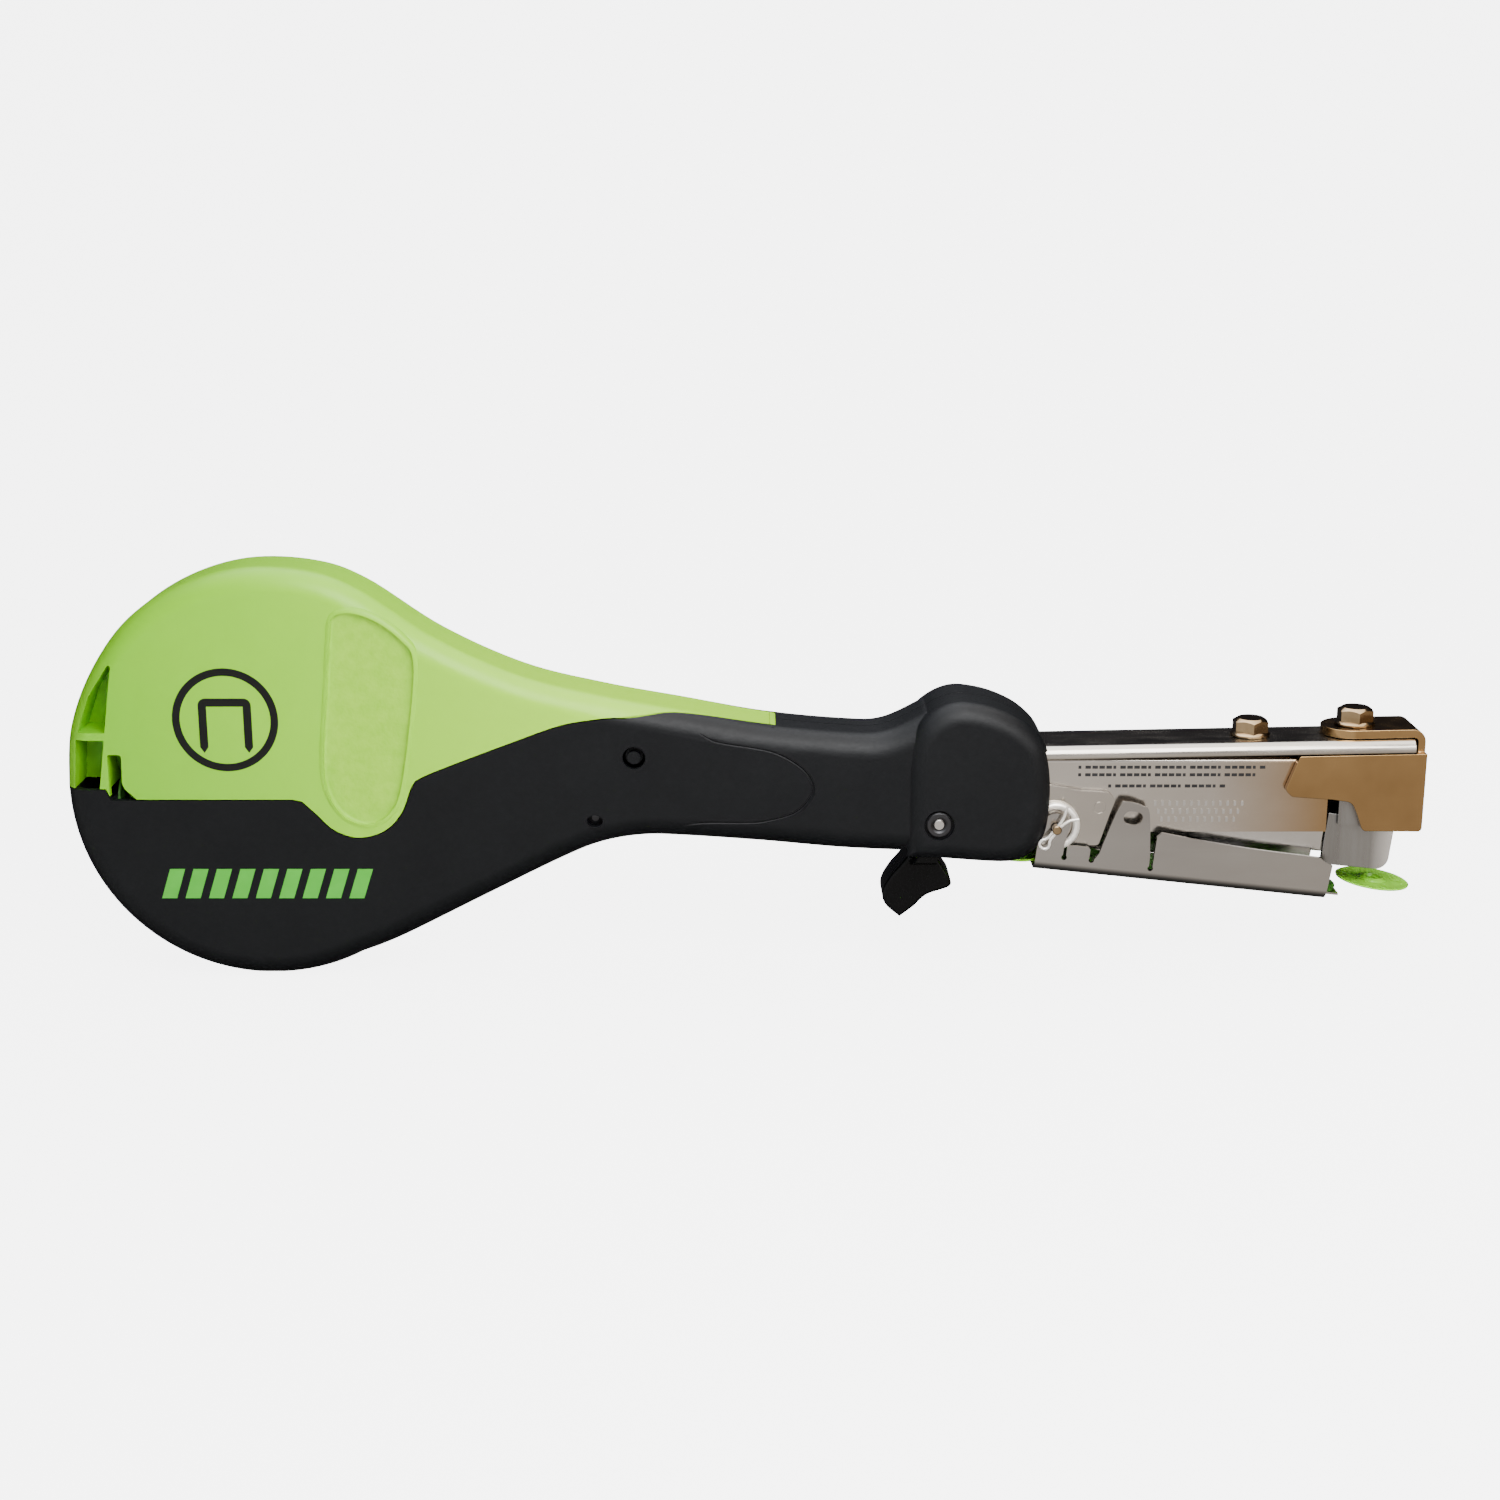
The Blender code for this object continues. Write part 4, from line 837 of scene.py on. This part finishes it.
def head_bolt(name, x, base):
    """A flange bolt: dished flange, chamfered hex and a low crown."""
    flange = [(0, 0), (6.9, 0), (6.9, 0.55), (6.3, 1.1), (5.2, 1.6), (0, 1.6)]
    dome = [(0, 0), (7.5, 0), (7.5, 4.1), (5.3, 5.5), (4.6, 6.0), (2.5, 6.1), (0, 6.1)]
    bolt, crown = (
        turned(word, [(radius, base + height) for radius, height in profile], (x, 0), axis="z")
        for word, profile in ((f"{name}_head", flange), ("dome", dome))
    )
    join(bolt, keep(rod("hexagon", 6.4, (x, 0), base + 1.2, base + 6.1, sides=6, axis="z"), crown))
    join(bolt, rod("shank", 3.0, (x, 0), -4.6, base + 1, axis="z"))
    return dress(ease(bolt, 0.3, 3, angle=25), "handle", ZINC, "yellow_zinc", name)


# Round reliefs where the rail's slots end, in the rail's own frame
RELIEFS = ((4.3, -10.4), (13.8, -10.4), (34.5, -11.2))


def cap_rail():
    """The folded rail under the magazine: ears on the pin, a low tab, a slotted ear and a long side wall."""
    ear = [(-5.5, -16.1), (-5.5, -9)] + arc(0, 0, 5, 175, 15, 24) + [(3.8, -6), (3.8, -10.4), (4.9, -10.4)]
    tab = [(4.9, -6.6), (5.6, -6), (12.4, -6), (13, -6.6), (13, -10.4), (14.6, -10.4), (15.4, -9)]
    slotted_ear = smooth([(16.2, -7.7), (20.6, 9.4), (23.5, 11.6), (28.8, 10.7), (31.4, 8.2), (33.8, -7)], 8)
    wall = [(34, -11), (35.2, -11), (35.2, 0.2)]
    wall += smooth([(36.8, 1.9), (51, 0.6), (68.6, -0.5), (92.5, -1.1)], 4)
    outline = ear + tab + slotted_ear + wall + [(94.1, -2.4), (97.1, -3.5), (96.5, -16.1)]
    rail = slab("rail", outline, -RAIL_HALF, RAIL_HALF, place=RAIL)
    trim = rounded([(-RAIL_HALF, 20), (RAIL_HALF, 20), (RAIL_HALF, -16.1, 3.4), (-RAIL_HALF, -16.1, 3.4)], 12)
    keep(rail, slab("bend", trim, -20, 120, axis="x", place=RAIL))
    inner = RAIL_HALF - RAIL_SHEET
    room = rounded([(-inner, 40), (inner, 40), (inner, -15.1, 2.2), (-inner, -15.1, 2.2)], 8)
    cut(rail, slab("cap_room", room, -20, 120, axis="x", place=RAIL))
    join(rail, slab("floor_tongue", box(93, 102.8, -16.0, -15.2), -8, 8, place=RAIL))
    slot = rounded([(22.7, 3.7, 2.3), (22.7, 8.5, 2.3), (29.3, 8.5, 2.3), (29.3, 3.7, 2.3)])
    pivot_hole = rod("pivot_hole", PIVOT_HOLE, (0, 0), *THROUGH, place=RAIL)
    reliefs = [rod("relief", 0.95, spot, *THROUGH, sides=24, place=RAIL) for spot in RELIEFS]
    cut(rail, pivot_hole, slab("ear_slot", slot, *THROUGH, place=RAIL), *reliefs)
    return dress(crease(rail, 35), "magazine", RAIL_STEEL, "nickel_steel", "cap_rail")


def magazine_nose():
    """The ground block that guides the blade and bears on the work."""
    outline = rounded([(94.3, -5, 1), (94.3, 13.5), (117.9, 13.5, 2.5), (117.9, -5, 4.5)])
    nose = slab("nose", outline, -8.6, 8.6, place=RAIL)
    cut(nose, slab("nose_room", box(90, 116.3, -20, 12.3), -7.1, 7.1, place=RAIL))
    cut(nose, slab("blade_slot", box(111.3, 116.3, 0, 30), -6.2, 6.2, place=RAIL))
    return dress(ease(nose, 0.8, 4), "magazine", GROUND, "brushed_steel", "magazine_nose")


def cotter_point(along, aside):
    """A point in the split pin's plane, measured along and across its shank from the pivot."""
    lean = math.radians(COTTER_LEAN)
    x = PIVOT[0] + along * math.cos(lean) - aside * math.sin(lean)
    z = PIVOT[1] + along * math.sin(lean) + aside * math.cos(lean)
    return x, COTTER_Y, z


def split_cotter():
    """The spring wire pin through the near end of the pivot pin."""
    eye = arc(-6.6, 0, 1.7, 35, 325, 30)
    upper = smooth([(8.4, 2.4), (5.0, 1.0), (2.0, 0.52), (-1.0, 0.52), (-4.0, 0.52)], 5)
    lower = smooth([(-4.0, -0.52), (-1.0, -0.52), (2.0, -0.52), (5.0, -1.4), (7.4, -3.6)], 5)
    path = [cotter_point(*spot) for spot in upper + eye + lower]
    return dress(wire("cotter", path, 0.5, resolution=4), "magazine", RING, "yellow_zinc", "split_cotter")


def pivot_pin():
    profile = [(0, 16.8), (2.4, 16.8), (3.2, 16.2), (3.2, 15.3), (PIVOT_RADIUS, 15.3), (PIVOT_RADIUS, -18.6)]
    pin = turned("pivot_pin", profile + [(1.25, -19.0), (0, -19.0)], PIVOT)
    cut(pin, wire("hole", [cotter_point(-6, 0), cotter_point(6, 0)], 1.05))
    return dress(ease(pin, 0.1, 2), "magazine", ZINC, "yellow_zinc", "rail_pivot_pin")


def lever_fasteners():
    """The bolt that the release lever turns on, and its nut on the near side."""
    head, end = [(0, 19.3), (3.2, 19.3), (4.4, 18.8), (4.4, 18.0)], [(2.0, -18.6), (1.6, -19.0), (0, -19.0)]
    bolt = turned("lever_bolt", head + [(2.0, 18.0)] + end, LEVER_PIVOT)
    dress(bolt, "handle", BRIGHT, "brushed_steel", "lever_pivot_bolt")
    ring = [(4.4, -18.0), (4.4, -18.8), (4.0, -19.2), (2.9, -19.2), (2.2, -18.6), (2.2, -18.0), (4.4, -18.0)]
    dress(turned("lever_nut", ring, LEVER_PIVOT), "handle", DARK, "brushed_steel", "lever_pivot_nut")


def helix(radius, length, turns, steps):
    """Points (across, across, along) on a helix with a number of steps a turn."""
    angles = (2 * math.pi * i / steps for i in range(turns * steps + 1))
    return [(radius * math.cos(a), radius * math.sin(a), length * a / (2 * math.pi * turns)) for a in angles]


def springs():
    """The upright spring that opens the magazine, and the one along it that pushes the staples."""
    path = [(150 + x, y, -11.2 + z) for x, y, z in helix(4, 9.4, 4, 32)]
    dress(wire("swing_spring", path, 0.45), "handle", BRIGHT, "brushed_steel", "return_spring")
    path = [(62.2 + x, y, 12.4 + z) for y, z, x in helix(1, 28, 20, 16)]
    dress(wire("stick_spring", path, 0.25, place=RAIL), "magazine", BRIGHT, "brushed_steel", "pusher_spring")


# ---------------------------------------------------------------- the other CAD nodes

CAD_FINISHES = {
    "coil_core": BLACK,
    "magazine_channel": BRIGHT,
    "magazine_cover": NICKEL,
    "staple_core": BRIGHT,
    "staple_stick": BRIGHT,
    "staple_pusher": DARK,
    "spring_pin": BRIGHT,
    "feed_shuttle": DARK,
    "driver_guide": GROUND,
    "driver_blade": GROUND,
    "striker_block": DARK,
    "frame_anchor_pin": BRIGHT,
    "lid_hinge_pin": BRIGHT,
    "lever_spring": BRIGHT,
    **{f"housing_screw_{i}": DARK for i in range(1, 7)},
}


def finish_cad_nodes():
    """Gives the CAD solids that nothing replaces their finishes."""
    for name, material in CAD_FINISHES.items():
        obj = frame["nodes"][name]
        for slot in obj.material_slots:
            slot.material = material


# ---------------------------------------------------------------- plain marks


# How deep printed marks reach on the near side, and the middle of the emblem
PRINT = (-HALF_WIDTH - 0.06, 0.2 - HALF_WIDTH)
EMBLEM = (-178, 15)


def print_and_highlight_marks(name, outlines, body, material, slot, depth=PRINT):
    """Flat shapes on the near side, in one piece: printed marks, and the stamped ticks, whose brighter steel is
    a painted highlight.
    """
    first, *rest = [slab(name, outline, *depth) for outline in outlines]
    join(first, *rest)
    return dress(first, body, material, slot)


def marks():
    """Plain marks: a staple in a ring, a row of slanted bars, rows of dashes and stamped ticks."""
    ring = slab("emblem", arc(*EMBLEM, 18, 360, 5, 71), *PRINT)
    cut(ring, rod("hole", 15.4, EMBLEM, -20, -10, sides=72))
    staple = [(-9, -9.5), (-9, 7.5, 2.5), (9, 7.5, 2.5), (9, -9.5), (7.6, -11.5)]
    staple += [(6.2, -9.5), (6.2, 4.7), (-6.2, 4.7), (-6.2, -9.5), (-7.6, -11.5)]
    staple = [(EMBLEM[0] + x, EMBLEM[1] + z, *radius) for x, z, *radius in staple]
    join(ring, slab("staple", rounded(staple), *PRINT))
    dress(ring, "lid", PRINT_BLACK, "black_plastic")
    bars = []
    for i in range(9):
        left = -203.5 + 8.1 * i
        bars.append([(left, -48.6), (left + 3.4, -38), (left + 8.6, -38), (left + 5.2, -48.6)])
    print_and_highlight_marks("side_bars", bars, "handle", PRINT_GREEN, "green_plastic")
    dashes = []
    for left, right, top in ((113, 178, -2.9), (113, 176, -5.6), (123.5, 166, -9.6)):
        for i in range(int((right - left) / 2.4)):
            start = left + 2.4 * i
            dashes.append(box(start, start + (1.9 if i % 5 else 1.0), top - 1.1, top))
    print_and_highlight_marks("printed_dashes", dashes, "handle", DARK, "dark_steel", (-CHANNEL_HALF - 0.03, 0.1 - CHANNEL_HALF))
    ticks = []
    for row in range(3):
        for i in range(13 - row):
            left = 139.5 + 2.5 * i + 1.2 * row
            low = -17.2 - 2.9 * row
            ticks.append(rounded([(x, z, 0.3) for x, z in box(left, left + 0.9, low, low + 1.8)], 2))
    # The stamped ticks are brighter steel than the plate they stand on: a painted highlight.
    print_and_highlight_marks("stamped_ticks", ticks, "handle", BRIGHT, "nickel_steel", (-CHANNEL_HALF - 0.3, 0.1 - CHANNEL_HALF))


# ---------------------------------------------------------------- studio


# Height in the sky from straight down (0) to straight up (1), and what glossy surfaces see there
FRONT_STOPS = (
    (0.0, (0.02, 0.02, 0.02)),
    (0.2, (0.07, 0.068, 0.065)),
    (0.34, (0.3, 0.29, 0.28)),
    (0.44, (0.42, 0.41, 0.4)),
    (0.6, (0.3, 0.3, 0.31)),
    (0.8, (0.35, 0.36, 0.38)),
    (0.92, (0.95, 0.97, 1.0)),
    (1.0, (1, 1, 1)),
)
BACK_STOPS = (
    (0.0, (0.02, 0.02, 0.02)),
    (0.5, (0.01, 0.01, 0.012)),
    (0.7, (0.01, 0.01, 0.012)),
    (0.84, (0.05, 0.055, 0.065)),
    (0.93, (0.8, 0.85, 0.95)),
    (1.0, (1, 1, 1)),
)

# Name, place and size in metres, and power in watts
LAMPS = (
    ("key", (0.12, -0.5, 0.5), 0.5, 9.0),
    ("fill", (0.9, -1.0, 0.5), 0.9, 8.0),
    ("top", (0.1, 0.4, 1.9), 2.4, 45.0),
)
CAMERA_DISTANCE = 0.8
CAMERA_TILT = 15
CAMERA_LENS = 55.2


def surroundings():
    """Soft white light for matt surfaces. Glossy ones see a studio, dark behind and below, bright overhead."""
    world = bpy.data.worlds.new("studio")
    world.use_nodes = True
    tree = world.node_tree
    soft = tree.nodes["Background"]
    soft.inputs["Strength"].default_value = 0.5
    where = node(tree, "ShaderNodeTexCoord")
    axes = node(tree, "ShaderNodeSeparateXYZ")
    tree.links.new(where.outputs["Generated"], axes.inputs[0])
    ramps = []
    for stops in (FRONT_STOPS, BACK_STOPS):
        ramp = node(tree, "ShaderNodeValToRGB")
        elements = ramp.color_ramp.elements
        for element, (place, colour) in zip((*elements, *(elements.new(0.5) for _ in stops[2:])), stops):
            element.position = place
            element.color = (*colour, 1)
        tree.links.new(spread(tree, axes.outputs["Z"], 0, 1, -1, 1), ramp.inputs[0])
        ramps.append(ramp.outputs[0])
    mix = node(tree, "ShaderNodeMix", data_type="RGBA")
    tree.links.new(spread(tree, axes.outputs["Y"], 0, 1, -0.25, 0.25), mix.inputs[0])
    tree.links.new(ramps[0], mix.inputs[6])
    tree.links.new(ramps[1], mix.inputs[7])
    side = node(tree, "ShaderNodeMix", data_type="RGBA", blend_type="MULTIPLY")
    side.inputs[7].default_value = (0.5, 0.4, 0.3, 1)
    tree.links.new(spread(tree, axes.outputs["X"], 0, 1, 0.05, 0.5), side.inputs[0])
    tree.links.new(mix.outputs[2], side.inputs[6])
    shine = node(tree, "ShaderNodeBackground", Strength=3.0)
    tree.links.new(side.outputs[2], shine.inputs["Color"])
    path = node(tree, "ShaderNodeLightPath")
    either = node(tree, "ShaderNodeMixShader")
    tree.links.new(path.outputs["Is Glossy Ray"], either.inputs[0])
    tree.links.new(soft.outputs[0], either.inputs[1])
    tree.links.new(shine.outputs[0], either.inputs[2])
    tree.links.new(either.outputs[0], tree.nodes["World Output"].inputs["Surface"])
    return world


def floor_paper():
    """White paper that looks brighter to the camera than the light it hands on."""
    paper = bpy.data.materials.new("floor_paper")
    paper.use_nodes = True
    tree = paper.node_tree
    shader = tree.nodes["Principled BSDF"]
    shader.inputs["Base Color"].default_value = (0.93, 0.93, 0.93, 1)
    shader.inputs["Roughness"].default_value = 0.9
    shader.inputs["Specular IOR Level"].default_value = 0.0
    glow = node(tree, "ShaderNodeEmission", Strength=9.0)
    path = node(tree, "ShaderNodeLightPath")
    either = node(tree, "ShaderNodeMixShader")
    tree.links.new(spread(tree, path.outputs["Is Camera Ray"], 0, 0.6, 0, 1), either.inputs[0])
    tree.links.new(shader.outputs[0], either.inputs[1])
    tree.links.new(glow.outputs[0], either.inputs[2])
    tree.links.new(either.outputs[0], tree.nodes["Material Output"].inputs["Surface"])
    return paper


def studio():
    """A pale floor that sweeps up behind, soft lights and the camera."""
    floor_z = cad_box[0][2] * 1000 - 0.5
    profile = [(-6000, floor_z), (1500, floor_z, 900), (1500, 3000)]
    line = rounded([*profile, (1560, 3000), (1560, floor_z - 40), (-6000, floor_z - 40)], 24)
    sweep = slab("floor", line, -3000, 3000, axis="x", place=Matrix.Identity(4))
    sweep.data.shade_smooth()
    sweep.data.materials.append(floor_paper())
    sweep.visible_glossy = False

    for name, place, size, power in LAMPS:
        light = bpy.data.lights.new(name, "AREA")
        light.size = size
        light.energy = power
        lamp = bpy.data.objects.new(name, light)
        lamp.location = place
        lamp.rotation_euler = (-Vector(place)).to_track_quat("-Z", "Y").to_euler()
        bpy.context.scene.collection.objects.link(lamp)
    bpy.context.scene.world = surroundings()

    lens = bpy.data.cameras.new("camera")
    lens.lens = CAMERA_LENS
    lens.sensor_width = 36
    camera = bpy.data.objects.new("camera", lens)
    tilt = math.radians(CAMERA_TILT)
    camera.location = SHIFT + Vector((0, -math.cos(tilt), math.sin(tilt))) * CAMERA_DISTANCE
    camera.rotation_euler = (math.pi / 2 - tilt, 0, 0)
    bpy.context.scene.collection.objects.link(camera)
    bpy.context.scene.camera = camera


def main():
    outer, room = body_shell()
    drum_lid(outer, room)
    housing_half("shell_near", outer, room, -1)
    housing_half("shell_far", outer, room, 1)
    for spare in (outer, room):
        bpy.data.objects.remove(spare)
    release_lever()
    wound_roll()
    handle_strip()
    rail_strip()
    nose_cap()
    hammer_frame()
    side_channel()
    for side in (-1, 1):
        pivot_cheek(side)
    front_shoe()
    for name, (x, base) in HEAD_BOLTS.items():
        head_bolt(name, x, base)
    cap_rail()
    magazine_nose()
    split_cotter()
    pivot_pin()
    lever_fasteners()
    springs()
    finish_cad_nodes()
    marks()
    studio()


main()
